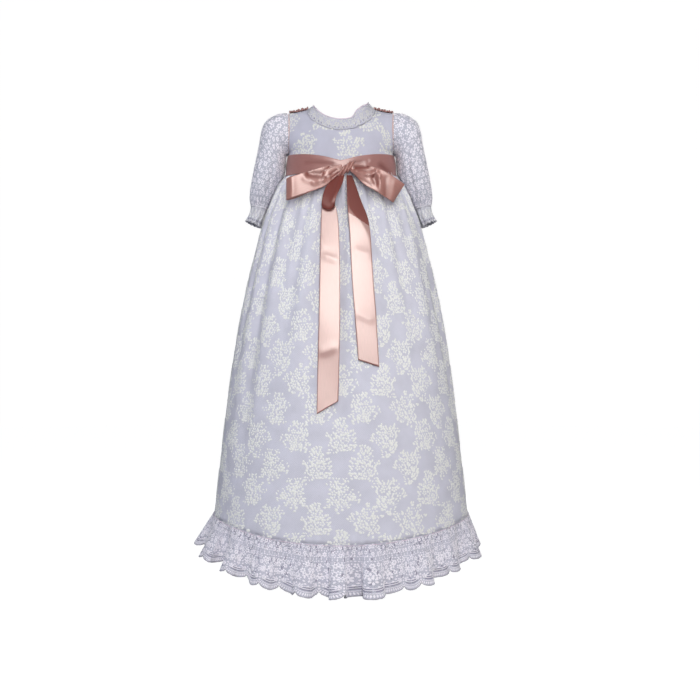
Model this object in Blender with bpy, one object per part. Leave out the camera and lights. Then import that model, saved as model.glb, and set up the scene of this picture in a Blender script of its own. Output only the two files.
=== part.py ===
"""Baby's long lace gown, standing out in its worn form with nobody in it.

Metres, +Z up, front towards -Y. Left and right are as seen from the front, so left is -X.
The origin is in the middle of the neck, level with the shoulder seams at the neck.
"""

import math

import bmesh
import bpy
import numpy as np
from mathutils import Vector

MM = 0.001

# Driving sizes, in millimetres.
CLOTH = 1.2
LACE = 1.0
RIBBON = 1.0
SEAM_GAP = 0.5
NECK_HALF = 50.0
NECK_Z = -8.0
NECK_FRONT_Z = -38.0
NECK_BACK_Z = -22.0
SHOULDER_X = 94.5
SHOULDER_Z = -17.5
SHOULDER_ROUND = 40.0
WAIST_Z = -114.0
ARMPIT_Z = -90.0
ARMHOLE_DEPTH = 34.0
HEM_SIDE_Z = -752.0
HEM_FRONT_DIP = 31.0
HEM_BACK_DIP = 20.0
RUFFLE_LENGTH = 78.0
RUFFLE_WAVES = 17
RUFFLE_WAVE_HEIGHT = 9.0

# Degrees that the panels stop short of the side seams.
SKIRT_SHORT = 0.25
RUFFLE_SHORT = 0.03

# The bodice all round: height, half width to the armhole or side seam, front depth, back depth.
BODICE = (
    (-114.0, 98.0, 67.0, 58.0),
    (-90.0, 95.0, 64.5, 58.0),
    (-70.0, 93.6, 61.0, 56.0),
    (-50.0, 93.4, 54.0, 51.0),
    (-30.0, 93.8, 46.0, 45.0),
    (-17.5, 94.5, 41.0, 41.0),
    (0.0, 94.5, 35.0, 37.0),
    (20.0, 94.5, 30.0, 32.0),
)

# The skirt all round: height, half width, front depth, back depth.
SKIRT = (
    (-800.0, 236.0, 178.0, 169.0),
    (-731.0, 229.0, 174.0, 164.0),
    (-647.0, 219.5, 167.0, 157.0),
    (-546.0, 208.0, 159.0, 148.0),
    (-444.0, 193.5, 149.0, 137.0),
    (-342.0, 174.0, 134.0, 121.0),
    (-280.0, 159.0, 121.0, 108.0),
    (-231.0, 146.0, 107.0, 95.0),
    (-194.0, 134.0, 95.0, 83.0),
    (-151.0, 114.5, 78.0, 67.0),
    (-131.0, 99.5, 69.5, 60.0),
    (-114.0, 98.0, 67.0, 58.0),
)

# Front folds: angle at the waist and at the hem, half width of the trough, depth, start and end
# below the waist. Angles are degrees from the middle of the front, positive to the right.
FRONT_FOLDS = (
    (-68.0, -74.0, 5.0, 5.0, 12.0, 470.0),
    (-50.0, -54.0, 5.0, 6.0, 12.0, 640.0),
    (-37.0, -40.0, 4.5, 5.0, 12.0, 330.0),
    (-25.0, -35.0, 4.5, 7.0, 12.0, 420.0),
    (-12.0, -14.0, 4.5, 6.0, 12.0, 500.0),
    (1.0, 0.0, 4.5, 6.5, 12.0, 600.0),
    (14.0, 20.0, 4.5, 5.0, 12.0, 450.0),
    (25.0, 31.0, 4.5, 5.5, 12.0, 300.0),
    (37.0, 43.0, 5.0, 7.0, 12.0, 420.0),
    (51.0, 56.0, 4.5, 5.0, 12.0, 260.0),
    (33.0, 31.0, 5.0, 4.0, 190.0, 600.0),
    (66.0, 74.0, 5.0, 5.5, 12.0, 540.0),
)
BACK_FOLDS = 12

# Sleeve rings from armhole to wrist: outer line x and z, underarm line x and z, half depth.
SLEEVE = (
    (110.0, -17.0, 101.2, -95.5, 37.0),
    (127.0, -21.5, 101.8, -102.0, 39.5),
    (140.0, -31.0, 102.6, -109.0, 40.5),
    (147.0, -51.0, 103.4, -117.0, 40.5),
    (152.0, -80.0, 105.0, -129.0, 39.5),
    (157.5, -108.0, 110.6, -142.0, 38.0),
    (163.0, -136.0, 118.4, -156.0, 36.0),
    (167.0, -160.0, 126.2, -171.0, 32.0),
    (167.5, -176.0, 132.4, -184.0, 26.0),
    (165.5, -188.5, 137.4, -194.5, 21.5),
)

# Cuff frill rings, in the same columns.
CUFF = (
    (166.0, -189.5, 138.0, -195.5, 22.0),
    (169.0, -202.0, 142.0, -211.0, 25.5),
    (175.5, -214.5, 148.5, -225.5, 29.0),
)
CUFF_WAVES = 7
CUFF_WAVE_HEIGHT = 1.6

# The sash ribbon by angle from the middle of the front: top edge, bottom edge.
SASH = (
    (0.0, -115.5, -128.0),
    (6.0, -112.5, -128.0),
    (14.0, -108.0, -128.5),
    (30.0, -103.0, -134.5),
    (60.0, -98.5, -136.0),
    (90.0, -96.0, -132.5),
    (180.0, -96.0, -132.0),
)

# Bow loops, outwards along the front layer and back along the rear one: middle x, y, z, half width,
# slant of the ribbon's width from upright in degrees.
LOOP_LEFT = (
    (-1.8, -82.0, -133.0, 5.0, 12.0),
    (-20.0, -89.5, -140.0, 12.5, 18.0),
    (-47.0, -95.5, -153.0, 17.6, 18.0),
    (-79.0, -98.5, -164.0, 18.3, 9.0),
    (-90.0, -96.5, -167.5, 18.8, 2.0),
    (-95.5, -92.0, -169.0, 19.0, 0.0),
    (-95.8, -88.0, -169.0, 19.0, 0.0),
    (-91.0, -85.0, -168.0, 19.0, 1.0),
    (-76.0, -85.5, -163.0, 18.5, 8.0),
    (-54.0, -87.0, -154.0, 16.0, 14.0),
    (-32.0, -86.0, -144.0, 12.0, 15.0),
    (-14.0, -81.5, -136.5, 6.5, 12.0),
)
LOOP_RIGHT = (
    (22.8, -82.0, -132.5, 5.0, -20.0),
    (37.0, -93.5, -140.5, 12.5, -25.0),
    (50.0, -98.5, -146.5, 17.0, -28.0),
    (64.0, -100.0, -153.5, 19.0, -30.0),
    (79.0, -99.0, -162.0, 19.2, -31.0),
    (93.0, -94.5, -170.5, 19.2, -32.0),
    (100.5, -90.0, -175.0, 19.2, -32.0),
    (101.5, -86.5, -175.5, 19.0, -32.0),
    (98.5, -84.0, -173.0, 19.0, -32.0),
    (84.0, -84.5, -163.0, 18.5, -30.0),
    (64.0, -87.5, -151.5, 17.0, -28.0),
    (46.0, -86.5, -142.0, 11.0, -24.0),
    (33.0, -82.0, -135.5, 6.0, -20.0),
)
KNOT_CENTRE = (10.0, -82.6, -130.5)
KNOT_HALF = (11.5, 8.0, 14.5)

# Ribbon tails from the knot down: height, left edge x, right edge x.
TAIL_LEFT = (
    (-145.4, -3.5, 6.5, 5.0),
    (-159.0, -19.0, 2.5, 10.5),
    (-172.0, -29.0, -4.5, 14.0),
    (-192.0, -33.5, -10.5, 13.5),
    (-206.0, -35.0, -7.0, 4.0),
    (-240.0, -36.0, -3.0, 2.6),
    (-300.0, -37.0, -1.0, 2.6),
    (-390.0, -38.5, -0.5, 2.6),
    (-480.0, -40.5, -2.5, 2.6),
    (-540.0, -42.0, -4.0, 2.6),
)
TAIL_RIGHT = (
    (-145.6, 10.5, 19.5, 4.7),
    (-162.0, 10.5, 26.0, 9.0),
    (-185.0, 10.5, 32.0, 9.5),
    (-214.0, 12.5, 45.0, 8.0),
    (-248.0, 15.0, 51.0, 3.4),
    (-326.0, 18.5, 56.0, 2.6),
    (-390.0, 23.5, 61.0, 2.6),
    (-470.0, 29.5, 66.0, 2.6),
)
TAIL_LEFT_POINT = -22.0
TAIL_RIGHT_POINT = 12.0

BUTTON_RADIUS = 4.5
BUTTON_THICK = 3.0
BUTTON_X = 6.5
BUTTON_HEIGHTS = (-49.0, -66.5, -84.0)

# Counts along the pieces. The looks are made finer elsewhere.
SKIRT_COLUMNS = 40
SKIRT_LEVELS = (0.0, 0.028, 0.075, 0.13, 0.21, 0.32, 0.46, 0.63, 0.81, 1.0)
RUFFLE_COLUMNS = 48
BODICE_COLUMNS = 14
ARMHOLE_LEVELS = 7
SLEEVE_SIDES = 2 * ARMHOLE_LEVELS


def smooth_step(low, high, at):
    """0 below low, 1 above high and an easy curve between."""
    t = min(1.0, max(0.0, (at - low) / (high - low)))
    return t * t * (3 - 2 * t)


def read(rows, column, at):
    """A table's column at a key from its first column, on a smooth curve through the rows."""
    rows = sorted(rows)
    keys = np.array([row[0] for row in rows])
    values = np.array([row[column] for row in rows])
    slopes = np.gradient(values, keys)
    at = min(max(at, keys[0]), keys[-1])
    i = int(min(max(np.searchsorted(keys, at) - 1, 0), len(keys) - 2))
    step = keys[i + 1] - keys[i]
    t = (at - keys[i]) / step
    first = (2 * t**3 - 3 * t**2 + 1) * values[i] + (t**3 - 2 * t**2 + t) * step * slopes[i]
    second = (3 * t**2 - 2 * t**3) * values[i + 1] + (t**3 - t**2) * step * slopes[i + 1]
    return float(first + second)


def roundness(share):
    """Depth of a rounded section at a share of its half width."""
    return max(0.0, 1 - abs(share) ** 2.4) ** (1 / 2.2)


# Bodice

def shoulder_line(x):
    """Height of the shoulder seam, carried on up over the neck."""
    slope = (SHOULDER_Z - NECK_Z) / (SHOULDER_X - NECK_HALF)
    return NECK_Z + slope * (abs(x) - NECK_HALF)


def armhole_edge(z):
    """How far the armhole's edge lies in front of the shoulder and side seams."""
    middle = (SHOULDER_Z + ARMPIT_Z) / 2
    half = (SHOULDER_Z - ARMPIT_Z) / 2
    inside = max(0.0, 1 - ((z - middle) / half) ** 2)
    return max(ARMHOLE_DEPTH * math.sqrt(inside), SEAM_GAP / 2)


def bodice_point(x, z, side):
    """A point of the bodice. Side is -1 for the front and 1 for the back."""
    half = read(BODICE, 1, z)
    depth = read(BODICE, 2 if side < 0 else 3, z)
    drop = max(0.0, shoulder_line(x) - z) / SHOULDER_ROUND
    over = math.sqrt(max(0.0, 1 - (1 - min(drop, 1.0)) ** 2))
    edge = armhole_edge(z)
    return Vector((x, side * (edge + (depth - edge) * roundness(x / half) * over), z))


def above_bodice(x, z, side, lift):
    """A point straight out from the bodice."""
    z = min(z, shoulder_line(x) - 0.01)
    here = bodice_point(x, z, side)
    below = bodice_point(x, z - 0.6, side)
    beside = bodice_point(x + 0.6, z + shoulder_line(x + 0.6) - shoulder_line(x), side)
    outward = (beside - here).cross(here - below).normalized() * -side
    return here + outward * lift


def neck_height(x, low):
    """Height of the neckline at x."""
    return NECK_Z + (low - NECK_Z) * max(0.0, 1 - (x / NECK_HALF) ** 2) ** 0.65


def top_height(x, low):
    """Upper edge of a bodice panel: the neckline in the middle and the shoulder seam beside it."""
    if abs(x) < NECK_HALF:
        return neck_height(x, low)
    return shoulder_line(x)


def bodice_grid(shares, side, low):
    """Rows of points from the waist to the armpit, then on up to the neck and shoulder."""
    rows = []
    for z in (WAIST_Z + SEAM_GAP, (WAIST_Z + ARMPIT_Z) / 2, ARMPIT_Z):
        rows.append([bodice_point(s * read(BODICE, 1, z), z, side) for s in shares])
    for level in range(1, ARMHOLE_LEVELS + 1):
        t = (1 - math.cos(math.pi * level / ARMHOLE_LEVELS)) / 2
        row = []
        for s in shares:
            z = ARMPIT_Z + (top_height(s * SHOULDER_X, low) - ARMPIT_Z) * t
            row.append(bodice_point(s * read(BODICE, 1, z), z, side))
        rows.append(row)
    return rows


def panel_shares(first, last, count):
    """Shares of the half width, closer together towards the sides, with a column at the neck."""
    angles = np.linspace(math.asin(first), math.asin(last), count + 1)
    shares = [math.sin(a) for a in angles]
    neck = NECK_HALF / SHOULDER_X
    for wanted in (-neck, neck):
        if first < wanted < last:
            nearest = min(range(len(shares)), key=lambda i: abs(shares[i] - wanted))
            shares[nearest] = wanted
    return shares


def build_bodice():
    front = bodice_grid(panel_shares(-1.0, 1.0, BODICE_COLUMNS), -1, NECK_FRONT_Z)
    cloth("bodice_front", front, CLOTH, "lace_cloth")
    opening = SEAM_GAP / 2 / SHOULDER_X
    half = BODICE_COLUMNS // 2
    left = bodice_grid(panel_shares(-1.0, -opening, half), 1, NECK_BACK_Z)
    cloth("bodice_back_left", left, CLOTH, "lace_cloth", flip=True)
    right = bodice_grid(panel_shares(opening, 1.0, half), 1, NECK_BACK_Z)
    cloth("bodice_back_right", right, CLOTH, "lace_cloth", flip=True)


# Skirt and hem

def back_folds():
    """Folds of the hidden back, like those in front and as uneven."""
    rows = []
    for n in range(BACK_FOLDS):
        angle = 84.0 + 192.0 * (n + 0.5) / BACK_FOLDS + 2.5 * math.sin(2.3 * n)
        depth = 5.5 + 1.3 * math.sin(1.7 * n)
        end = 430.0 + 130.0 * math.sin(2.9 * n + 1.0)
        rows.append((angle, angle + 2.5 * math.sin(1.3 * n), 4.8, depth, 12.0, end))
    return tuple(rows)


FOLDS = FRONT_FOLDS + back_folds()


def fold_depth(angle, z):
    """How far the skirt lies in from its rounded section, at an angle in degrees."""
    below = WAIST_Z - z
    length = WAIST_Z - HEM_SIDE_Z
    depth = 0.0
    for at_waist, at_hem, half, deep, start, end in FOLDS:
        middle = at_waist + (at_hem - at_waist) * below / length
        apart = (angle - middle + 180.0) % 360.0 - 180.0
        shown = smooth_step(start, start + 60.0, below)
        shown *= 1 - smooth_step(start + 0.4 * (end - start), end, below)
        depth += deep * shown * math.exp(-((apart / half) ** 2))
    return depth


def skirt_point(angle, z, out=0.0):
    """A point of the skirt, moved out from its surface."""
    turn = math.radians(angle)
    half = read(SKIRT, 1, z)
    depth = read(SKIRT, 2 if math.cos(turn) > 0 else 3, z)
    x = half * math.sin(turn)
    y = -math.copysign(depth * roundness(math.sin(turn)), math.cos(turn))
    outward = Vector((x / half**2, y / depth**2)).normalized() * (out - fold_depth(angle, z))
    return x + outward.x, y + outward.y, z


def hem_height(angle):
    """The hem seam is lowest in the middle of the front and a little low behind."""
    ahead = math.cos(math.radians(angle))
    dip = HEM_FRONT_DIP if ahead > 0 else HEM_BACK_DIP
    return HEM_SIDE_Z - dip * abs(ahead) ** 2.2


def half_angles(middle, columns, short):
    """Angles across half of the skirt, which stop a little short of the side seams."""
    return np.linspace(middle - 90.0 + short, middle + 90.0 - short, columns + 1)


def skirt_grid(angles):
    top = WAIST_Z - SEAM_GAP
    rows = []
    for level in reversed(SKIRT_LEVELS):
        rows.append([skirt_point(a, top + (hem_height(a) - top) * level) for a in angles])
    return rows


def ruffle_wave(angle, share):
    """In and out movement of the gathered hem lace."""
    turn = math.radians(angle)
    phase = RUFFLE_WAVES * turn + 0.9 * math.sin(3 * turn + 0.6) + 0.5 * math.sin(5 * turn)
    return RUFFLE_WAVE_HEIGHT * share**1.1 * math.cos(phase)


def ruffle_point(angle, share):
    """A point of the hem lace at a share of its length below the hem seam.

    The lace is drawn up towards the sides and flares more at the left one.
    """
    across = math.sin(math.radians(angle))
    side = abs(across) ** 3
    lean = math.radians(15.0 + (11.0 if across < 0 else -1.0) * side)
    length = share * RUFFLE_LENGTH * (1 - 0.28 * side**0.8)
    down = SEAM_GAP + CLOTH / 2 + length * math.cos(lean)
    out = length * math.sin(lean) + ruffle_wave(angle, share)
    seam = hem_height(angle)
    x, y, _ = skirt_point(angle, seam, out)
    return x, y, seam - down


def ruffle_grid(angles):
    shares = (1.0, 0.62, 0.28, 0.0)
    return [[ruffle_point(a, share) for a in angles] for share in shares]


def build_skirt():
    for name, middle in (("front", 0.0), ("back", 180.0)):
        panel = skirt_grid(half_angles(middle, SKIRT_COLUMNS, SKIRT_SHORT))
        cloth("skirt_" + name, panel, CLOTH, "lace_cloth")
        frill = ruffle_grid(half_angles(middle, RUFFLE_COLUMNS, RUFFLE_SHORT))
        cloth("hem_ruffle_" + name, frill, LACE, "edging_lace")


# Sleeves and cuffs

def armhole_ring(side):
    """The sleeve's first ring, which follows the armhole just outside it."""
    ring = []
    for n in range(SLEEVE_SIDES):
        turn = math.pi * n / ARMHOLE_LEVELS
        z = ARMPIT_Z + (SHOULDER_Z - ARMPIT_Z) * (1 + math.cos(turn)) / 2
        x = read(BODICE, 1, z) + CLOTH + 1.2
        ring.append((side * x, -ARMHOLE_DEPTH * math.sin(turn), z))
    return ring


def tube_ring(row, side, wave=0.0, waves=0):
    """One ring from an outer point, an underarm point and a half depth."""
    outer_x, outer_z, inner_x, inner_z, depth = row
    ring = []
    for n in range(SLEEVE_SIDES):
        turn = 2 * math.pi * n / SLEEVE_SIDES
        grow = 1 + wave * math.cos(waves * turn)
        across = math.cos(turn) * grow
        x = (outer_x + inner_x) / 2 + (outer_x - inner_x) / 2 * across
        z = (outer_z + inner_z) / 2 + (outer_z - inner_z) / 2 * across
        ring.append((side * x, -depth * math.sin(turn) * grow, z))
    return ring


def build_sleeves():
    for name, side in (("left", -1), ("right", 1)):
        rings = [armhole_ring(side)] + [tube_ring(row, side) for row in SLEEVE]
        cloth("sleeve_" + name, rings, LACE, "sleeve_lace", closed=True, flip=side < 0)
        frill = []
        for level, row in enumerate(CUFF):
            share = level / (len(CUFF) - 1)
            wave = CUFF_WAVE_HEIGHT / row[4] * share
            frill.append(tube_ring(row, side, wave, CUFF_WAVES))
        cloth("cuff_" + name, frill, LACE, "edging_lace", closed=True, flip=side < 0)


# Collar

COLLAR_FRONT = 20.0
COLLAR_SHOULDER = 8.5
COLLAR_STAND = 8.0
COLLAR_COLUMNS = 14


def collar_point(turn, share, side):
    """A point of the collar. Turn runs from -90 at the left shoulder to 90 at the right one."""
    angle = math.radians(turn)
    flat = math.cos(angle) ** 0.5
    width = (COLLAR_SHOULDER + (COLLAR_FRONT - COLLAR_SHOULDER) * flat) * share
    tilt = math.radians(90.0 * (abs(turn) / 90.0) ** 2.2)
    x = NECK_HALF * math.sin(angle)
    z = neck_height(x, NECK_FRONT_Z if side < 0 else NECK_BACK_Z)
    x += math.copysign(width * math.sin(tilt), x)
    z -= width * (math.cos(tilt) + 0.2 * math.sin(tilt))
    stand = (1 - share) * (1.0 + COLLAR_STAND * abs(math.sin(angle)) ** 3)
    return above_bodice(x, z, side, CLOTH + 1.7) + Vector((0.0, 0.0, stand))


def build_collar():
    back = np.linspace(1.5, 79.0, COLLAR_COLUMNS // 2)
    front = np.linspace(-90.0, 90.0, COLLAR_COLUMNS + 1)
    rows = []
    for share in (1.0, 0.5, 0.0):
        row = [collar_point(-turn, share, 1) for turn in back]
        row += [collar_point(turn, share, -1) for turn in front]
        row += [collar_point(turn, share, 1) for turn in reversed(back)]
        rows.append(row)
    cloth("collar", rows, LACE, "edging_lace")


# Sash, bow and shoulder ribbons

SASH_COLUMNS = 48


def waist_point(angle, z, out):
    """A point round the waist, where the sash lies over the bodice and the top of the skirt."""
    turn = math.radians(angle)
    rows = BODICE if z > WAIST_Z else SKIRT
    half = read(rows, 1, z)
    depth = read(rows, 2 if math.cos(turn) > 0 else 3, z)
    x = half * math.sin(turn)
    y = -math.copysign(depth * roundness(math.sin(turn)), math.cos(turn))
    outward = Vector((x / half**2, y / depth**2)).normalized() * out
    return x + outward.x, y + outward.y, z


def build_sash():
    rows = []
    for share in (0.0, 0.5, 1.0):
        row = []
        for n in range(SASH_COLUMNS):
            angle = 360.0 * n / SASH_COLUMNS
            folded = min(angle, 360.0 - angle)
            top = read(SASH, 1, folded)
            bottom = read(SASH, 2, folded)
            out = CLOTH + 1.3 + 2.6 * (1 - smooth_step(0.0, 26.0, folded))
            row.append(waist_point(angle, bottom + (top - bottom) * share, out))
        rows.append(row)
    cloth("sash", rows, RIBBON, "satin_ribbon", closed=True)


def loop_grid(stations):
    """A ribbon strip through stations of middle, half width and slant."""
    rows = []
    for share in (-1.0, -0.33, 0.33, 1.0):
        row = []
        for x, y, z, half, slant in stations:
            lean = math.radians(slant)
            up = Vector((-math.sin(lean), 0.0, math.cos(lean)))
            row.append(tuple(Vector((x, y, z)) + up * half * share))
        rows.append(row)
    return rows


def tail_grid(table, point):
    """A ribbon tail that lies on the skirt, with its end cut on the slant."""
    heights = [row[0] for row in table]
    rows = []
    for n, z in enumerate(sorted(heights)):
        row = []
        for share in (0.0, 0.5, 1.0):
            x = read(table, 1, z) * (1 - share) + read(table, 2, z) * share
            low = z
            if n == 0:
                low = z + point * (1 - share if point < 0 else -share)
            row.append((x, tail_depth(x, low) - read(table, 3, z), low))
        rows.append(row)
    return rows


def tail_depth(x, z):
    """Depth of the skirt's front behind a tail."""
    half = read(SKIRT, 1, z)
    depth = read(SKIRT, 2, z)
    return -depth * roundness(x / half) - CLOTH


def build_bow():
    cloth("bow_loop_left", loop_grid(LOOP_LEFT), RIBBON, "satin_ribbon", flip=True)
    cloth("bow_loop_right", loop_grid(LOOP_RIGHT), RIBBON, "satin_ribbon")
    cloth("bow_tail_left", tail_grid(TAIL_LEFT, TAIL_LEFT_POINT), RIBBON, "satin_ribbon")
    cloth("bow_tail_right", tail_grid(TAIL_RIGHT, -TAIL_RIGHT_POINT), RIBBON, "satin_ribbon")
    mesh = bmesh.new()
    bmesh.ops.create_uvsphere(mesh, u_segments=12, v_segments=8, radius=1.0)
    for vertex in mesh.verts:
        vertex.co = Vector(c * h * MM for c, h in zip(vertex.co, KNOT_HALF))
    knot = finish("bow_knot", mesh, "satin_ribbon")
    knot.location = Vector(KNOT_CENTRE) * MM


RIBBON_ARCH = 3.4
SHOULDER_RIBBON = (61.8, 93.5)


def build_shoulder_ribbons():
    """A ruched strip of the ribbon along each shoulder seam, from the collar to the sleeve."""
    first, last = SHOULDER_RIBBON
    for name, side in (("left", -1), ("right", 1)):
        rows = []
        for share in (-1.0, -0.6, 0.0, 0.6, 1.0):
            row = []
            for n in range(9):
                x = side * (first + (last - first) * n / 8)
                arch = RIBBON_ARCH * (1 - share**2) * (0.85 + 0.15 * math.cos(n * math.pi))
                z = shoulder_line(x) - 2.0 * share**2
                row.append(above_bodice(x, z, 1 if share < 0 else -1, CLOTH + 0.9 + arch))
            rows.append(row)
        cloth("shoulder_ribbon_" + name, rows, RIBBON, "satin_ribbon", flip=side > 0)


def build_buttons():
    """Domed buttons down the right side of the back opening."""
    for number, z in enumerate(BUTTON_HEIGHTS, 1):
        mesh = bmesh.new()
        bmesh.ops.create_cone(
            mesh, cap_ends=True, segments=16, radius1=BUTTON_RADIUS * MM,
            radius2=BUTTON_RADIUS * 0.7 * MM, depth=BUTTON_THICK * MM,
        )
        button = finish(f"button_{number}", mesh, "pearl_button")
        seat = bodice_point(BUTTON_X, z - BUTTON_RADIUS, 1).y + CLOTH + 0.3
        button.rotation_euler = (math.radians(-90.0), 0.0, 0.0)
        button.location = Vector((BUTTON_X, seat + BUTTON_THICK / 2, z)) * MM


# Making objects

MATERIALS = {
    "lace_cloth": ((0.62, 0.61, 0.72), 0.75),
    "sleeve_lace": ((0.70, 0.70, 0.76), 0.75),
    "edging_lace": ((0.68, 0.68, 0.72), 0.8),
    "satin_ribbon": ((0.52, 0.27, 0.24), 0.3),
    "pearl_button": ((0.82, 0.80, 0.78), 0.25),
}


def material(name):
    """The named finish, made once."""
    found = bpy.data.materials.get(name)
    if found:
        return found
    made = bpy.data.materials.new(name)
    made.use_nodes = True
    shader = made.node_tree.nodes["Principled BSDF"]
    colour, roughness_value = MATERIALS[name]
    shader.inputs["Base Color"].default_value = (*colour, 1.0)
    shader.inputs["Roughness"].default_value = roughness_value
    return made


def finish(name, mesh, finish_name):
    """Turns a bmesh into a named, smoothly shaded object."""
    data = bpy.data.meshes.new(name)
    mesh.to_mesh(data)
    mesh.free()
    data.shade_smooth()
    data.materials.append(material(finish_name))
    made = bpy.data.objects.new(name, data)
    bpy.context.scene.collection.objects.link(made)
    return made


def cloth(name, rows, thickness, finish_name, closed=False, flip=False):
    """A cloth wall from rows of points. Closed joins the last column to the first."""
    mesh = bmesh.new()
    grid = [[mesh.verts.new(Vector(point) * MM) for point in row] for row in rows]
    columns = len(grid[0])
    for low, high in zip(grid, grid[1:]):
        for n in range(columns if closed else columns - 1):
            after = (n + 1) % columns
            corners = [low[n], low[after], high[after], high[n]]
            mesh.faces.new(corners[::-1] if flip else corners)
    made = finish(name, mesh, finish_name)
    wall = made.modifiers.new("wall", "SOLIDIFY")
    wall.thickness = thickness * MM
    wall.offset = 1.0
    return made


def main():
    for old in list(bpy.data.objects):
        bpy.data.objects.remove(old)
    build_bodice()
    build_collar()
    build_sleeves()
    build_skirt()
    build_sash()
    build_bow()
    build_shoulder_ribbons()
    build_buttons()


main()
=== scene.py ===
"""Finished look of a baby's long lace gown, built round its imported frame.

Lengths in the tables are millimetres in the frame's axes: +Z up, front towards -Y, and left and
right as seen from the front. Flat cloth places are millimetres too: across, then down the cloth.
"""

import math

import bpy
import numpy as np
from bpy.props import FloatProperty, FloatVectorProperty, PointerProperty
from mathutils import Matrix, Vector


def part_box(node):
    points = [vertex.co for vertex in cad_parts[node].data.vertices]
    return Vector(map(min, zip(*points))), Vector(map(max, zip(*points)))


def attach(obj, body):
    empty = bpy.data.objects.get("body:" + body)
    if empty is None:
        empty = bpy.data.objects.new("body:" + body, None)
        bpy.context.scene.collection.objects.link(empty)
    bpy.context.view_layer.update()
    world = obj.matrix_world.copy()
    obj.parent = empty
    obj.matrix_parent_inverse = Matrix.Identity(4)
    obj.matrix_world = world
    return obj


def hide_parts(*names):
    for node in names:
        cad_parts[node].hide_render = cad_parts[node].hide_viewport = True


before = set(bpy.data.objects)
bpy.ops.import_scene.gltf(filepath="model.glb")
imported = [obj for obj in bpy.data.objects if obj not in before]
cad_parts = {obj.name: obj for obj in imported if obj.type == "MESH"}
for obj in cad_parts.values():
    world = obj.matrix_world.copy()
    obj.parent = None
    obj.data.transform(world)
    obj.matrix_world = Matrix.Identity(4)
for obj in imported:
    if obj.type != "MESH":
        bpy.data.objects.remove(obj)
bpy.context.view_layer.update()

bl_info = {
    "name": "Lace Gown",
    "version": (1, 0, 0),
    "blender": (4, 5, 0),
    "location": "View3D > Sidebar > Gown",
    "description": "Makes the lace, lining, ribbon and buttons of a baby's long gown",
    "category": "Object",
}

MM = 0.001

# Sizes that the frame was made to.
NECK_HALF = 50.0
NECK_Z = -8.0
NECK_FRONT_Z = -38.0
NECK_BACK_Z = -22.0
SHOULDER_X = 94.5
SHOULDER_Z = -17.5
SHOULDER_ROUND = 40.0
WAIST_Z = -114.0
ARMPIT_Z = -90.0
ARMHOLE_DEPTH = 34.0
HEM_SIDE_Z = -752.0
HEM_FRONT_DIP = 31.0
HEM_BACK_DIP = 20.0
HEM_DIP_POWER = 2.2
HEM_PUCKERS = 96
FRAME_WALL = 1.2

# Powers that shape a rounded section, the neckline and the bodice's turn into its side.
SECTION_POWER = 2.4
SECTION_ROOT = 2.2
NECK_POWER = 0.65
SIDE_POWER = 1.7

# Gathers round the whole waist: the small ones below the sash and the softer ones under them.
SMALL_GATHERS = 58
SOFT_GATHERS = 23
GATHER_DEPTH = 1.7

# The bodice all round: height, half width, front depth, back depth.
BODICE = (
    (-114.0, 98.0, 67.0, 58.0),
    (-90.0, 95.0, 64.5, 58.0),
    (-70.0, 93.6, 61.0, 56.0),
    (-50.0, 93.4, 54.0, 51.0),
    (-30.0, 93.8, 46.0, 45.0),
    (-17.5, 94.5, 41.0, 41.0),
    (0.0, 94.5, 35.0, 37.0),
    (20.0, 94.5, 30.0, 32.0),
)

# The skirt all round, in the same columns.
SKIRT = (
    (-800.0, 236.0, 178.0, 169.0),
    (-731.0, 229.0, 174.0, 164.0),
    (-647.0, 219.5, 167.0, 157.0),
    (-546.0, 208.0, 159.0, 148.0),
    (-444.0, 193.5, 149.0, 137.0),
    (-342.0, 174.0, 134.0, 121.0),
    (-280.0, 159.0, 121.0, 108.0),
    (-231.0, 146.0, 107.0, 95.0),
    (-194.0, 134.0, 95.0, 83.0),
    (-151.0, 114.5, 78.0, 67.0),
    (-131.0, 99.5, 69.5, 60.0),
    (-114.0, 98.0, 67.0, 58.0),
)

# Front folds: angle at the waist and at the hem, half width of the trough, depth, start and end
# below the waist. Angles are degrees from the middle of the front, positive to the right.
FRONT_FOLDS = (
    (-68.0, -74.0, 5.0, 5.0, 12.0, 470.0),
    (-50.0, -54.0, 5.0, 6.0, 12.0, 640.0),
    (-37.0, -40.0, 4.5, 5.0, 12.0, 330.0),
    (-25.0, -35.0, 4.5, 7.0, 12.0, 420.0),
    (-12.0, -14.0, 4.5, 6.0, 12.0, 500.0),
    (1.0, 0.0, 4.5, 6.5, 12.0, 600.0),
    (14.0, 20.0, 4.5, 5.0, 12.0, 450.0),
    (25.0, 31.0, 4.5, 5.5, 12.0, 300.0),
    (37.0, 43.0, 5.0, 7.0, 12.0, 420.0),
    (51.0, 56.0, 4.5, 5.0, 12.0, 260.0),
    (33.0, 31.0, 5.0, 4.0, 190.0, 600.0),
    (66.0, 74.0, 5.0, 5.5, 12.0, 540.0),
)
BACK_FOLDS = 12

# Sleeve rings from armhole to wrist: outer line x and z, underarm line x and z, half depth.
SLEEVE = (
    (110.0, -17.6, 101.2, -95.5, 37.0),
    (127.0, -23.0, 101.8, -102.0, 39.5),
    (139.6, -32.5, 102.6, -109.0, 40.5),
    (147.0, -51.0, 103.4, -117.0, 40.5),
    (152.0, -80.0, 105.0, -129.0, 39.5),
    (157.5, -108.0, 110.6, -142.0, 38.0),
    (163.0, -136.0, 118.4, -156.0, 36.0),
    (167.0, -160.0, 126.2, -171.0, 32.0),
    (167.5, -176.0, 132.4, -184.0, 26.0),
    (165.5, -188.5, 137.4, -194.5, 21.5),
)

# Cuff frill rings, in the same columns.
CUFF = (
    (166.0, -189.5, 138.0, -195.5, 22.0),
    (169.0, -202.0, 142.0, -211.0, 25.5),
    (175.5, -214.5, 148.5, -225.5, 29.0),
)

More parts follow.
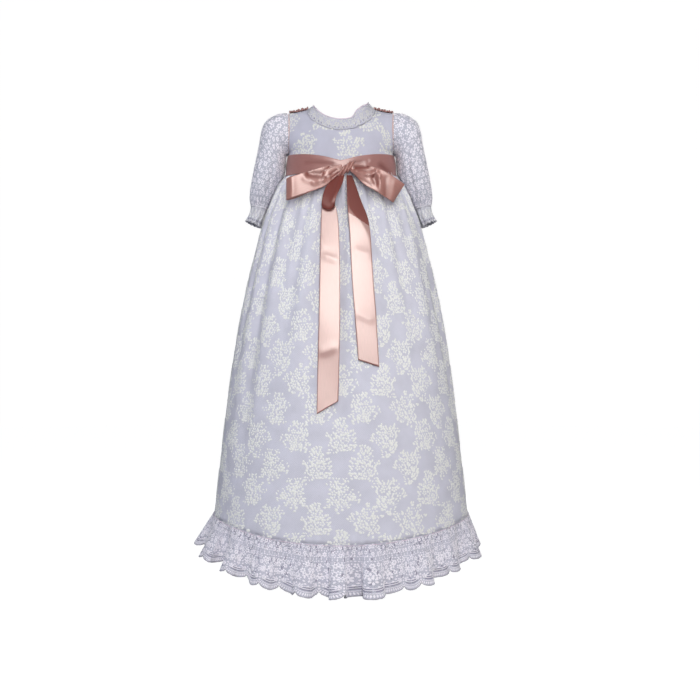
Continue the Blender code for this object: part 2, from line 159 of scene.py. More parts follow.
# The sash by angle from the middle of the front: top edge, bottom edge.
SASH = (
    (0.0, -114.5, -128.0),
    (6.0, -112.0, -128.0),
    (14.0, -108.0, -128.5),
    (30.0, -103.0, -134.5),
    (60.0, -98.5, -136.0),
    (90.0, -96.0, -132.5),
    (180.0, -96.0, -132.0),
)

# How far the sash stands out from the bodice, and how much more in the middle of the front.
SASH_OUT = 2.1
SASH_OUT_FRONT = 2.6

# Bow loops, outwards along the front layer and back along the rear one: middle x, y, z, half
# width, slant of the ribbon's width from upright in degrees.
LOOP_LEFT = (
    (2.0, -84.0, -130.5, 6.0, 8.0),
    (-8.0, -87.0, -134.5, 9.0, 14.0),
    (-21.0, -90.5, -140.5, 13.5, 20.0),
    (-33.0, -93.0, -147.5, 16.5, 21.0),
    (-47.0, -95.5, -153.0, 17.6, 20.0),
    (-62.0, -98.0, -158.3, 17.8, 17.0),
    (-79.0, -99.0, -164.0, 18.3, 9.0),
    (-90.0, -97.0, -167.5, 18.8, 2.0),
    (-95.5, -92.0, -169.0, 19.0, 0.0),
    (-95.8, -88.0, -169.0, 19.0, 0.0),
    (-91.0, -85.0, -168.0, 19.0, 1.0),
    (-76.0, -85.5, -163.0, 18.5, 8.0),
    (-54.0, -87.0, -155.0, 16.0, 14.0),
    (-32.0, -86.5, -146.0, 12.0, 16.0),
    (-12.0, -83.0, -137.5, 6.5, 12.0),
    (0.0, -81.0, -132.0, 5.0, 8.0),
)
LOOP_RIGHT = (
    (17.0, -86.0, -130.0, 6.0, -12.0),
    (27.0, -92.0, -134.5, 9.5, -20.0),
    (38.0, -97.0, -140.5, 14.0, -25.0),
    (50.0, -99.5, -146.5, 17.8, -28.0),
    (64.0, -100.5, -153.5, 19.0, -30.0),
    (79.0, -99.5, -162.0, 19.2, -31.0),
    (93.0, -95.0, -170.5, 19.2, -32.0),
    (100.5, -90.0, -175.0, 19.2, -32.0),
    (102.5, -86.5, -176.0, 19.0, -32.0),
    (99.0, -84.0, -173.5, 19.0, -32.0),
    (84.0, -84.5, -163.0, 18.5, -30.0),
    (64.0, -87.5, -151.5, 17.0, -28.0),
    (46.0, -86.5, -142.0, 11.0, -24.0),
    (28.0, -82.5, -134.0, 6.0, -20.0),
    (18.0, -81.0, -131.0, 5.0, -15.0),
)

# The station where a loop turns back.
LOOP_TURN = 7.5

# Soft folds in a ribbon's front layer, as lines on the front view: from x, z to x, z, half width,
# and how far the fold stands out, or how deep it is where that is negative.
LEFT_LOOP_FOLDS = (
    (-56.0, -142.5, -36.0, -144.0, 6.5, -3.6),
    (-62.0, -151.5, -47.6, -157.5, 6.0, 1.6),
    (-47.6, -157.5, -31.7, -152.5, 5.0, 1.9),
    (-31.7, -152.5, -21.0, -144.0, 4.0, 1.9),
    (-33.0, -139.5, -21.0, -130.0, 2.2, -1.9),
    (-21.0, -130.0, -4.0, -123.5, 2.2, -1.6),
    (-26.0, -147.5, -8.0, -134.5, 2.4, -1.9),
    (-17.0, -150.0, -4.0, -139.0, 2.6, -2.6),
    (-88.0, -150.0, -88.0, -186.0, 3.4, 1.1),
)
RIGHT_LOOP_FOLDS = (
    (25.9, -139.0, 43.5, -145.0, 2.8, 1.7),
    (43.5, -145.0, 55.0, -144.5, 2.8, 1.9),
    (55.0, -144.5, 62.4, -138.5, 3.0, 2.1),
    (62.4, -138.5, 67.5, -148.0, 3.2, 2.2),
    (67.5, -148.0, 69.0, -170.0, 3.6, 1.9),
    (57.0, -149.0, 61.0, -160.0, 5.5, -2.6),
    (24.0, -131.0, 46.0, -129.5, 3.2, -3.4),
    (30.0, -137.0, 52.0, -137.5, 2.6, -1.4),
    (79.0, -152.0, 78.0, -182.0, 5.0, -1.2),
    (95.0, -158.0, 90.0, -189.0, 5.0, 1.5),
    (24.0, -146.0, 52.0, -163.0, 3.0, -1.4),
)
SASH_FOLDS = (
    (-56.0, -106.0, -12.0, -118.0, 5.5, 1.2),
    (-62.0, -117.0, -10.0, -122.0, 3.6, -0.8),
    (-52.0, -128.0, -8.0, -125.5, 3.0, 0.8),
    (24.0, -119.0, 48.0, -114.0, 3.2, -1.0),
    (46.0, -119.0, 70.0, -112.0, 6.5, 1.5),
    (26.0, -125.0, 66.0, -123.0, 3.0, 0.9),
    (72.0, -121.0, 90.0, -133.0, 5.0, -1.5),
)

# Ribbon tails from the knot down, a row for each station: height, left edge x, right edge x, how
# far off the skirt the left edge and the right edge are, how far the middle hangs below the edges,
# and the share of the width where the ribbon starts to slope to its right edge.
TAIL_LEFT = (
    (-143.0, -8.0, 6.0, 7.0, 8.0, 0.0, 0.0),
    (-154.0, -19.0, 4.0, 8.0, 14.0, 0.0, 0.0),
    (-168.0, -28.0, -1.0, 10.0, 18.0, 0.5, 0.0),
    (-184.0, -32.5, -8.0, 12.0, 19.0, 1.5, 0.0),
    (-195.0, -33.8, -10.4, 11.5, 17.0, 3.5, 0.0),
    (-201.0, -34.0, -10.8, 9.0, 13.0, 5.0, 0.0),
    (-202.5, -34.0, -10.6, 6.5, 8.5, 5.4, 0.0),
    (-200.5, -34.0, -9.8, 4.6, 5.2, 4.2, 0.0),
    (-202.0, -34.2, -9.0, 3.4, 3.4, 2.0, 0.0),
    (-210.0, -34.5, -7.2, 2.7, 2.7, 0.5, 0.0),
    (-228.0, -35.2, -4.6, 2.6, 2.6, 0.0, 0.0),
    (-260.0, -36.0, -3.0, 2.6, 2.6, 0.0, 0.0),
    (-300.0, -36.5, -2.0, 2.6, 2.6, 0.0, 0.0),
    (-345.0, -37.2, -1.6, 2.6, 2.6, 0.0, 0.0),
    (-390.0, -38.0, -1.5, 2.6, 2.6, 0.0, 0.0),
    (-435.0, -39.0, -2.0, 2.6, 2.6, 0.0, 0.0),
    (-480.0, -40.0, -3.0, 2.6, 2.6, 0.0, 0.0),
    (-515.0, -40.8, -3.8, 2.6, 2.6, 0.0, 0.0),
    (-540.0, -41.5, -4.5, 2.6, 2.6, 0.0, 0.0),
)
TAIL_RIGHT = (
    (-143.0, 10.0, 20.0, 8.0, 4.0, 0.0, 0.0),
    (-153.0, 10.3, 23.4, 12.5, 3.4, 0.0, 0.0),
    (-165.0, 10.5, 27.5, 15.0, 3.0, 0.0, 0.0),
    (-178.0, 10.5, 31.5, 16.0, 2.8, 0.0, 0.0),
    (-191.0, 10.7, 36.0, 16.0, 2.6, 0.0, 0.0),
    (-204.0, 11.4, 41.0, 15.0, 2.6, 0.0, 0.10),
    (-217.0, 12.4, 45.8, 12.5, 2.6, 0.0, 0.34),
    (-230.0, 13.4, 49.0, 9.0, 2.6, 0.0, 0.60),
    (-246.0, 14.8, 51.0, 5.5, 2.6, 0.0, 0.80),
    (-264.0, 15.7, 52.4, 3.4, 2.6, 0.0, 0.90),
    (-300.0, 17.2, 54.2, 2.6, 2.6, 0.0, 0.90),
    (-340.0, 19.6, 56.8, 2.6, 2.6, 0.0, 0.90),
    (-390.0, 23.5, 60.5, 2.6, 2.6, 0.0, 0.90),
    (-430.0, 26.4, 63.0, 2.6, 2.6, 0.0, 0.90),
    (-470.0, 29.5, 65.5, 2.6, 2.6, 0.0, 0.90),
)
# The wrong side shows above this station on the left tail, where the ribbon turns over, and above
# this slanted line on the right one: its height at an x, and how much it falls for each mm across.
# Its darker colour there is partly the dull wrong side and partly painted shade under the bow.
TAIL_TURN = 7.0
TURN_LINE_Z = -213.0
TURN_LINE_X = 12.0
TURN_LINE_FALL = 0.62
TAIL_LEFT_FOLDS = (
    (-2.0, -146.0, -16.0, -194.0, 4.0, 1.6),
    (-25.0, -291.0, -12.0, -296.0, 7.0, 1.5),
    (-34.0, -262.0, -30.0, -272.0, 6.0, 0.9),
    (-30.0, -455.0, -14.0, -449.0, 9.0, 1.4),
)
TAIL_RIGHT_FOLDS = (
    (21.0, -150.0, 25.5, -166.0, 2.0, 0.9),
    (30.0, -282.0, 46.0, -287.0, 8.0, 1.2),
    (30.0, -390.0, 50.0, -400.0, 8.0, 1.3),
)
TAIL_LEFT_SLANT = 22.0
TAIL_RIGHT_SLANT = -12.0

# The knot's middle, half sizes along, out and up, and its lean from level in degrees.
KNOT_MIDDLE = (9.5, -83.2, -131.5)
KNOT_HALF = (12.0, 7.6, 12.6)
KNOT_LEAN = -24.0

RIBBON_WIDE = 38.0
SASH_LONG = 600.0

# The lace's repeat: one flowering sprig in each place of a half-drop pattern.
SKIRT_SPRIGS_ROUND = 34
SPRIG_DROP = 96.0
SPRIG_ACROSS = 38.0
BODICE_SPRIG = (10.0, -86.0)

# Length round a bodice panel for each mm of its width.
BODICE_WRAP = 1.18

# The gathered lace at the hem.
FLOUNCE_SCALLOPS = 44
FLOUNCE_COLUMNS = 15
FLOUNCE_PITCH = 45.0
FLOUNCE_LENGTH = 78.0
FLOUNCE_LOBE = 9.0
FLOUNCE_WAVES = 21
FLOUNCE_SWING = 12.0
FLOUNCE_SWAY = 6.6
FLOUNCE_LEAN = 15.0
FLOUNCE_LEAN_LEFT = 11.0
FLOUNCE_LEAN_RIGHT = -1.0
FLOUNCE_DRAWN_UP = 0.28


def smooth_step(low, high, at):
    """0 below low, 1 above high and an easy curve between."""
    t = np.clip((np.asarray(at, float) - low) / (high - low), 0.0, 1.0)
    return t * t * (3 - 2 * t)


def read(rows, column, at):
    """A table's column at keys from its first column, on a smooth curve through the rows."""
    table = np.array(sorted(rows))
    keys, values = table[:, 0], table[:, column]
    slopes = np.gradient(values, keys)
    at = np.clip(np.asarray(at, float), keys[0], keys[-1])
    i = np.clip(np.searchsorted(keys, at) - 1, 0, len(keys) - 2)
    step = keys[i + 1] - keys[i]
    t = (at - keys[i]) / step
    first = (2 * t**3 - 3 * t**2 + 1) * values[i] + (t**3 - 2 * t**2 + t) * step * slopes[i]
    return first + (3 * t**2 - 2 * t**3) * values[i + 1] + (t**3 - t**2) * step * slopes[i + 1]


def roundness(share):
    """Depth of a rounded section at a share of its half width."""
    return np.clip(1 - np.abs(share) ** SECTION_POWER, 0.0, 1.0) ** (1 / SECTION_ROOT)


def run_along(line):
    """Distance of each point of a line from its start."""
    return np.concatenate([[0.0], np.cumsum(np.linalg.norm(np.diff(line, axis=0), axis=1))])


def unit(vectors):
    """Vectors at length one."""
    return vectors / np.maximum(np.linalg.norm(vectors, axis=-1, keepdims=True), 1e-9)


class Cloth:
    """A sheet of cloth as rows of points, its outer face outwards.

    across is each column's place on the flat cloth and down is each point's distance from the
    top. A closed sheet has its first column again at its end. The other hand turns it over.
    The last argument, where a cloth has it, is how much painted shade each point takes, from 0 to 1:
    in folds, in the knot's grooves and under the bow.
    """

    def __init__(self, points, across, down, closed=False, other_hand=False, painted_shade=None):
        self.points = points
        self.painted_shade = painted_shade
        self.across = np.asarray(across, float)
        self.down = np.broadcast_to(down, points.shape[:2]).astype(float)
        self.closed = closed
        self.other_hand = other_hand
        side = np.gradient(points, axis=1)
        if closed:
            side[:, 0] = side[:, -1] = (points[:, 1] - points[:, -2]) / 2
        outward = unit(np.cross(np.gradient(points, axis=0), side))
        self.outward = -outward if other_hand else outward

    def at(self, across, down, lift):
        """Points at flat places, that far above the cloth."""
        column = np.interp(across, self.across, np.arange(len(self.across)))
        c = np.clip(column.astype(int), 0, len(self.across) - 2)
        f = column - c
        rows = self.down[:, c] * (1 - f) + self.down[:, c + 1] * f
        r = np.clip((rows <= down).sum(axis=0) - 1, 0, len(rows) - 2)
        n = np.arange(len(r))
        g = np.clip((down - rows[r, n]) / (rows[r + 1, n] - rows[r, n]), 0.0, 1.0)

        def between(values):
            low = values[r, c] * (1 - f)[:, None] + values[r, c + 1] * f[:, None]
            high = values[r + 1, c] * (1 - f)[:, None] + values[r + 1, c + 1] * f[:, None]
            return low * (1 - g)[:, None] + high * g[:, None]

        return between(self.points) + unit(between(self.outward)) * np.asarray(lift)[:, None]

    def holds(self, across, down, margin):
        """Which flat places are on the cloth, that far from its edges."""
        c = np.clip(np.searchsorted(self.across, across), 0, len(self.across) - 1)
        last = self.down[-1, c]
        inside = (down > self.down[0, c] + margin) & (down < last - margin)
        edge = 0.0 if self.closed else margin
        return inside & (across > self.across[0] + edge) & (across < self.across[-1] - edge)


# Making pieces

def new_piece(name, points, faces, flat=None, materials=(), face_slots=None):
    """A smooth mesh object from points in millimetres. flat is a place on the cloth per corner."""
    mesh = bpy.data.meshes.new(name)
    mesh.from_pydata((np.asarray(points) * MM).tolist(), [], faces)
    if flat is not None:
        layer = mesh.uv_layers.new(name="cloth")
        layer.data.foreach_set("uv", (np.asarray(flat) * MM).ravel())
    for finish in materials:
        mesh.materials.append(finish)
    if face_slots is not None:
        mesh.polygons.foreach_set("material_index", face_slots)
    mesh.shade_smooth()
    piece = bpy.data.objects.new(name, mesh)
    bpy.context.scene.collection.objects.link(piece)
    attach(piece, "root")
    return piece


def sew(name, cloth, thickness, materials, second=None, inner=0):
    """Makes a sheet with its wall, of a thickness in metres, inside its outer face.

    second marks the faces that take the second material, and inner is the wall's inner material.
    """
    rows, columns = cloth.points.shape[:2]
    kept = columns - 1 if cloth.closed else columns
    r, c = np.meshgrid(np.arange(rows - 1), np.arange(columns - 1), indexing="ij")
    corners = [(r, c), (r + 1, c), (r + 1, c + 1), (r, c + 1)]
    if cloth.other_hand:
        corners = corners[::-1]
    faces = np.stack([row * kept + column % kept for row, column in corners], axis=-1)
    flat = np.stack([
        np.stack([cloth.across[column], -cloth.down[row, column]], axis=-1)
        for row, column in corners
    ], axis=2)
    face_slots = None if second is None else second.ravel().astype(np.int32)
    piece = new_piece(
        name, cloth.points[:, :kept].reshape(-1, 3), faces.reshape(-1, 4).tolist(),
        flat.reshape(-1, 2), materials, face_slots,
    )
    # Each point's painted shade, kept as an attribute that darkens the satin's base colour.
    if cloth.painted_shade is not None:
        depth = piece.data.attributes.new("painted_shade", "FLOAT", "POINT")
        depth.data.foreach_set("value", cloth.painted_shade[:, :kept].ravel())
    wall = piece.modifiers.new("wall", "SOLIDIFY")
    wall.thickness = thickness
    wall.offset = -1.0
    wall.material_offset = inner
    return piece


# A stitched shape's outline and crown: along it, across it, height. Both start at its foot.
LEAF = np.array((
    (0.0, 0.0, -0.2), (0.28, 0.5, -0.2), (0.68, 0.42, -0.2), (1.0, 0.0, -0.2),
    (0.68, -0.42, -0.2), (0.28, -0.5, -0.2), (0.5, 0.0, 1.0),
))
PETAL = np.array((
    (0.06, 0.0, -0.2), (0.46, 0.46, -0.2), (0.88, 0.40, -0.2), (1.0, 0.0, -0.2),
    (0.88, -0.40, -0.2), (0.46, -0.46, -0.2), (0.66, 0.0, 1.0),
))


def stitch(name, cloth, marks, height, finish, margin=1.0):
    """Raised embroidery on a sheet, of a height in metres.

    A mark is across, down, direction, length, width, and 1 for a petal or 0 for a leaf.
    """
    marks = np.array(marks)
    reach = marks[:, 3] * 0.5
    middle = marks[:, :2] + np.stack(
        [np.cos(marks[:, 2]) * reach, -np.sin(marks[:, 2]) * reach], axis=1
    )
    marks = marks[cloth.holds(middle[:, 0], middle[:, 1], margin)]
    shape = np.where(marks[:, 5, None, None] > 0.5, PETAL, LEAF)
    along = shape[:, :, 0] * marks[:, 3, None]
    aside = shape[:, :, 1] * marks[:, 4, None]
    cos, sin = np.cos(marks[:, 2, None]), np.sin(marks[:, 2, None])
    across = marks[:, 0, None] + along * cos - aside * sin
    down = marks[:, 1, None] - along * sin - aside * cos
    if cloth.closed:
        across = np.mod(across, cloth.across[-1])
    lift = shape[:, :, 2] * height / MM * np.clip(marks[:, 4, None] / 2.4, 0.35, 1.4)
    points = cloth.at(across.ravel(), down.ravel(), lift.ravel())
    count = len(marks)
    fan = np.array([(n, (n + 1) % 6, 6) for n in range(6)])
    if not cloth.other_hand:
        fan = fan[:, ::-1]
    faces = (np.arange(count)[:, None, None] * 7 + fan).reshape(-1, 3)
    flat = np.stack([across.ravel(), -down.ravel()], axis=1)[faces.ravel()]
    return new_piece(name, points, faces.tolist(), flat, (finish,))


def cord(name, lines, radius, finish, slot, sides=6, closed=False, bead=0.0, bead_pitch=3.0):
    """Sewn-on cords along lines of points, beaded where bead is a share of the radius."""
    all_points, faces, flat = [], [], []
    for line in lines:
        line = np.asarray(line)
        count = len(line)
        ahead = np.roll(line, -1, axis=0) - np.roll(line, 1, axis=0)
        if not closed:
            ahead[0], ahead[-1] = line[1] - line[0], line[-1] - line[-2]
        ahead = unit(ahead)
        helper = np.where(np.abs(ahead[:, 2:3]) > 0.9, (1.0, 0.0, 0.0), (0.0, 0.0, 1.0))
        one = unit(np.cross(ahead, helper))
        two = np.cross(ahead, one)
        run = run_along(line)
        thick = radius * (1 + bead * np.cos(2 * math.pi * run / bead_pitch))
        start = sum(len(points) for points in all_points)
        turns = 2 * math.pi * np.arange(sides) / sides
        ring = (
            line[:, None]
            + (one[:, None] * np.cos(turns)[:, None] + two[:, None] * np.sin(turns)[:, None])
            * thick[:, None, None]
        )
        all_points.append(ring.reshape(-1, 3))
        for n in range(count if closed else count - 1):
            after = (n + 1) % count
            for k in range(sides):
                turn = (k + 1) % sides
                faces.append((
                    start + n * sides + k, start + n * sides + turn,
                    start + after * sides + turn, start + after * sides + k,
                ))
                far = run[n] + 1.0 if after == 0 else run[after]
                flat += [(k, run[n]), (k + 1, run[n]), (k + 1, far), (k, far)]
        if not closed:
            last = start + (count - 1) * sides
            faces.append(tuple(start + k for k in reversed(range(sides))))
            faces.append(tuple(last + k for k in range(sides)))
            flat += [(0.0, 0.0)] * (2 * sides)
    return new_piece(name, np.concatenate(all_points), faces, flat, (finish,))


def declare(nodes):
    """Hides the frame's nodes that a sheet stands for."""
    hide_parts(*nodes)


# Finishes

def linear(code):
    """An sRGB hex colour as the shader's linear values."""
    values = [int(code[n:n + 2], 16) / 255 for n in (1, 3, 5)]
    return tuple(v / 12.92 if v <= 0.04045 else ((v + 0.055) / 1.055) ** 2.4 for v in values)


def add_node(tree, kind, links=(), **settings):
    """Adds a node. Settings are its own values, or inputs where the name is in no such value.

    links pairs an input's name or number with another node's output.
    """
    node = tree.nodes.new(kind)
    for name, value in settings.items():
        if hasattr(node, name):
            setattr(node, name, value)
        else:
            node.inputs[name.replace("_", " ")].default_value = value
    for name, output in links:
        tree.links.new(output, node.inputs[name])
    return node


def new_finish(name, **settings):
    """A material with its Principled shader's own sockets set. Returns it, its tree, its shader."""
    finish = bpy.data.materials.new(name)
    finish.use_nodes = True
    tree = finish.node_tree
    shader = tree.nodes["Principled BSDF"]
    for key, value in settings.items():
        shader.inputs[key.replace("_", " ")].default_value = value
    return finish, tree, shader


def net_nodes(tree, pitch, thread):
    """A tulle net on the cloth's flat places: 1 on the threads and 0 in the holes.

    The pitch is in metres and the thread is a share of it.
    """
    place = add_node(tree, "ShaderNodeUVMap", uv_map="cloth")
    turned = add_node(
        tree, "ShaderNodeMapping", [("Vector", place.outputs["UV"])],
        Rotation=(0.0, 0.0, math.radians(45.0)),
    )
    cells = add_node(
        tree, "ShaderNodeTexVoronoi", [("Vector", turned.outputs["Vector"])],
        voronoi_dimensions="2D", feature="DISTANCE_TO_EDGE", Scale=1 / pitch,
        Randomness=0.3,
    )
    return add_node(
        tree, "ShaderNodeMapRange", [("Value", cells.outputs["Distance"])],
        From_Min=thread * 0.6, From_Max=thread, To_Min=1.0, To_Max=0.0,
    )


def make_lace_finish(name, ground, thread, pitch, cover, hole_alpha, bump):
    """Cotton bobbin net: a fine open mesh, dull and slightly uneven, drawn coarser than the real
    1.2 mm so that it shows. cover is how much of the thread's colour its threads take.
    """
    finish, tree, shader = new_finish(name, Roughness=0.82, Sheen_Weight=0.15)
    shader.inputs["Sheen Roughness"].default_value = 0.5
    net = net_nodes(tree, pitch, 0.3)
    place = add_node(tree, "ShaderNodeUVMap", uv_map="cloth")
    cloud = add_node(
        tree, "ShaderNodeTexNoise", [("Vector", place.outputs["UV"])], Scale=28.0, Detail=3.0,
    )
    uneven = add_node(
        tree, "ShaderNodeMapRange", [("Value", cloud.outputs["Fac"])],
        From_Min=0.3, From_Max=0.7, To_Min=0.93, To_Max=1.05,
    )
    amount = add_node(tree, "ShaderNodeMath", [(0, net.outputs[0])], operation="MULTIPLY")
    amount.inputs[1].default_value = cover
    colour = add_node(
        tree, "ShaderNodeMix", [(0, amount.outputs[0])], data_type="RGBA",
    )
    colour.inputs[6].default_value = (*ground, 1.0)
    colour.inputs[7].default_value = (*thread, 1.0)
    shade = add_node(
        tree, "ShaderNodeVectorMath",
        [(0, colour.outputs[2]), ("Scale", uneven.outputs[0])], operation="SCALE",
    )
    tree.links.new(shade.outputs[0], shader.inputs["Base Color"])
    relief = add_node(
        tree, "ShaderNodeBump", [("Height", net.outputs[0])], Strength=0.6, Distance=bump * MM,
    )
    tree.links.new(relief.outputs[0], shader.inputs["Normal"])
    if hole_alpha < 1.0:
        open_holes = add_node(
            tree, "ShaderNodeMapRange", [("Value", net.outputs[0])],
            To_Min=hole_alpha, To_Max=1.0,
        )
        tree.links.new(open_holes.outputs[0], shader.inputs["Alpha"])
    return finish


def make_lining_finish(colour):
    """Acetate lining: smooth plain weave with a faint shine."""
    finish, tree, shader = new_finish("acetate_lining", Roughness=0.5, Sheen_Weight=0.1)
    place = add_node(tree, "ShaderNodeUVMap", uv_map="cloth")
    weave = add_node(
        tree, "ShaderNodeTexWave", [("Vector", place.outputs["UV"])],
        bands_direction="Y", Scale=1 / (20 * 0.8 * MM), Distortion=1.0, Detail=1.0,
    )
    tint = add_node(
        tree, "ShaderNodeMapRange", [("Value", weave.outputs["Fac"])], To_Min=0.94, To_Max=1.03,
    )
    shade = add_node(
        tree, "ShaderNodeVectorMath", [("Scale", tint.outputs[0])], operation="SCALE",
    )
    shade.inputs[0].default_value = colour
    tree.links.new(shade.outputs[0], shader.inputs["Base Color"])
    return finish


def make_thread_finish(name, colour):
    """Mercerised cotton thread laid side by side: soft ridges and a slight gleam."""
    finish, tree, shader = new_finish(name, Roughness=0.75, Sheen_Weight=0.25)
    place = add_node(tree, "ShaderNodeTexCoord")
    ridges = add_node(
        tree, "ShaderNodeTexNoise", [("Vector", place.outputs["Object"])],
        Scale=900.0, Detail=2.0, Roughness=0.6,
    )
    tint = add_node(
        tree, "ShaderNodeMapRange", [("Value", ridges.outputs["Fac"])],
        From_Min=0.3, From_Max=0.7, To_Min=0.88, To_Max=1.06,
    )
    shade = add_node(
        tree, "ShaderNodeVectorMath", [("Scale", tint.outputs[0])], operation="SCALE",
    )
    shade.inputs[0].default_value = colour
    tree.links.new(shade.outputs[0], shader.inputs["Base Color"])
    relief = add_node(
        tree, "ShaderNodeBump", [("Height", ridges.outputs["Fac"])], Strength=0.5,
        Distance=0.2 * MM,
    )
    tree.links.new(relief.outputs[0], shader.inputs["Normal"])
    return finish


# How much red, green and blue the painted shade takes from a ribbon's colour at its deepest.
FOLD_SHADE_LOSS = (0.5, 0.74, 0.78)


def make_satin_finish(name, colour, gleam, warmth=0.9):
    """Polyester satin ribbon: long floats along it, so its gleam spreads across its width. Its base
    colour carries painted shade, darker and redder where a point is marked as lying in a fold, a
    groove of the knot or the shade under the bow.
    """
    finish, tree, shader = new_finish(
        name, Roughness=0.5, IOR=1.9, Specular_IOR_Level=gleam, Anisotropic=0.6,
        Sheen_Weight=0.1, Specular_Tint=(1.0, warmth, warmth * 0.96, 1.0),
    )
    place = add_node(tree, "ShaderNodeUVMap", uv_map="cloth")
    stretched = add_node(
        tree, "ShaderNodeMapping", [("Vector", place.outputs["UV"])], Scale=(1.0, 0.05, 1.0),
    )
    floats = add_node(
        tree, "ShaderNodeTexNoise", [("Vector", stretched.outputs["Vector"])],
        Scale=1400.0, Detail=2.0,
    )
    tint = add_node(
        tree, "ShaderNodeMapRange", [("Value", floats.outputs["Fac"])],
        From_Min=0.3, From_Max=0.7, To_Min=0.9, To_Max=1.08,
    )
    # Painted shade of folds, grooves and the shade under the bow darkens the dye here.
    painted_shade = add_node(tree, "ShaderNodeAttribute", attribute_name="painted_shade")
    lost = add_node(
        tree, "ShaderNodeVectorMath", [("Scale", painted_shade.outputs["Fac"])], operation="SCALE",
    )
    lost.inputs[0].default_value = FOLD_SHADE_LOSS
    kept = add_node(
        tree, "ShaderNodeVectorMath", [(1, lost.outputs[0])], operation="SUBTRACT",
    )
    kept.inputs[0].default_value = (1.0, 1.0, 1.0)
    dye_and_painted_shade = add_node(
        tree, "ShaderNodeVectorMath", [(0, kept.outputs[0])], operation="MULTIPLY",
    )
    dye_and_painted_shade.inputs[1].default_value = colour
    shade = add_node(
        tree, "ShaderNodeVectorMath", [(0, dye_and_painted_shade.outputs[0]), ("Scale", tint.outputs[0])],
        operation="SCALE",
    )
    tree.links.new(shade.outputs[0], shader.inputs["Base Color"])
    relief = add_node(
        tree, "ShaderNodeBump", [("Height", floats.outputs["Fac"])], Strength=0.25,
        Distance=0.1 * MM,
    )
    tree.links.new(relief.outputs[0], shader.inputs["Normal"])
    grain = add_node(tree, "ShaderNodeTangent", direction_type="UV_MAP", uv_map="cloth")
    tree.links.new(grain.outputs[0], shader.inputs["Tangent"])
    return finish


def make_pearl_finish(colour):
    """Moulded pearl button: glossy, with a soft cloudy depth."""
    finish, tree, shader = new_finish(
        "moulded_pearl", Roughness=0.22, Coat_Weight=0.6, Coat_Roughness=0.1,
    )
    place = add_node(tree, "ShaderNodeTexCoord")
    cloud = add_node(
        tree, "ShaderNodeTexNoise", [("Vector", place.outputs["Object"])], Scale=260.0,
        Detail=3.0,
    )
    tint = add_node(
        tree, "ShaderNodeMapRange", [("Value", cloud.outputs["Fac"])], To_Min=0.88, To_Max=1.08,
    )
    shade = add_node(
        tree, "ShaderNodeVectorMath", [("Scale", tint.outputs[0])], operation="SCALE",
    )
    shade.inputs[0].default_value = colour
    tree.links.new(shade.outputs[0], shader.inputs["Base Color"])
    return finish


def finish_named(name):
    """A finish by its short name, made the first time it is asked for."""
    colours = bpy.context.scene.gown_colours
    net_pitch = bpy.context.scene.gown_sizes.net_pitch
    edging_pitch = bpy.context.scene.gown_sizes.edging_pitch
    makers = {
        "lined_lace": lambda: make_lace_finish(
            "lace_over_lining", colours.lining, colours.net, net_pitch, 0.45, 1.0, 0.25),
        "sheer_lace": lambda: make_lace_finish(
            "sheer_sleeve_net", colours.sheer, colours.net, net_pitch, 0.55, 0.78, 0.3),
        "edging_lace": lambda: make_lace_finish(
            "edging_net", colours.edging_ground, colours.edging_net, edging_pitch, 0.9, 0.85,
            0.3),
        # Open work is a darker net over uncut faces: painted shade seen through its holes.
        "open_work_shade": lambda: make_lace_finish(
            "open_work_net", colours.gap, colours.edging_ground, edging_pitch, 0.6, 0.85, 0.3),
        "lining": lambda: make_lining_finish(colours.lining),
        "flower_thread": lambda: make_thread_finish("cotton_flower_thread", colours.flower),
        "bodice_thread": lambda: make_thread_finish("cotton_bodice_thread", colours.bodice_flower),
        "edging_thread": lambda: make_thread_finish("cotton_edging_thread", colours.edging),
        "cuff_lace": lambda: make_lace_finish(
            "cuff_net", colours.collar, colours.edging_net, edging_pitch, 0.9, 0.85, 0.3),
        "cuff_thread": lambda: make_thread_finish("cotton_cuff_thread", colours.flower),
        "collar_thread": lambda: make_thread_finish("cotton_collar_thread", colours.collar),
        # The cord's grey is partly painted shadow, a thin dark line along the rims.
        "shadowed_cord_thread": lambda: make_thread_finish("cotton_cord", colours.cord),
        "seam_thread": lambda: make_thread_finish("seam_tape", colours.seam),
        "piping": lambda: make_thread_finish("neck_piping", colours.piping),
        # One ribbon in three colours: the bow's is painted lighter for the light on its loops, and
        # the sash's darker for its shade.
        "satin": lambda: make_satin_finish("polyester_satin", colours.satin, 1.0, 0.95),
        "lit_satin_bow": lambda: make_satin_finish("polyester_satin_bow", colours.bow, 0.54, 0.9),
        "shaded_satin_sash": lambda: make_satin_finish("polyester_satin_sash", colours.sash, 0.45),
        # The wrong side's colour is darker than the face's: painted shade under the bow as well as a
        # duller side.
        "shaded_satin_back": lambda: make_satin_finish("satin_wrong_side_shaded", colours.shaded_satin_back, 0.25),
        "bodice_lace": lambda: make_lace_finish(
            "lace_over_bodice_lining", colours.bodice, colours.net, net_pitch, 0.35, 1.0,
            0.25),
        "pearl": lambda: make_pearl_finish(colours.pearl),
    }
    key = "gown_finish_" + name
    stored = bpy.context.scene.get(key)
    if stored and stored in bpy.data.materials:
        return bpy.data.materials[stored]
    made = makers[name]()
    bpy.context.scene[key] = made.name
    return made


# Embroidered patterns

def blossom(x, y, size, turn, petals=5, wide=0.8):
    """Petals round a middle. Marks are across, down, direction, length, width, petal."""
    return [
        (x, y, turn + 2 * math.pi * n / petals, size, size * wide, 1.0) for n in range(petals)
    ]


def strewn(chance, wide, tall, pitch):
    """Uneven places over a flat area, about the pitch apart."""
    columns = max(1, round(wide / pitch))
    rows = max(1, round(tall / (pitch * 0.87)))
    row, column = np.meshgrid(np.arange(rows), np.arange(columns), indexing="ij")
    x = (column + 0.5 * (row % 2) + chance.uniform(-0.24, 0.24, row.shape)) * wide / columns
    y = (row + 0.5 + chance.uniform(-0.24, 0.24, row.shape)) * tall / rows
    return x.ravel(), y.ravel()


def leaf_at(x, y, aim, long, share):
    """A leaf with its middle at a place."""
    return (x - math.cos(aim) * long / 2, y + math.sin(aim) * long / 2, aim, long, long * share, 0.0)


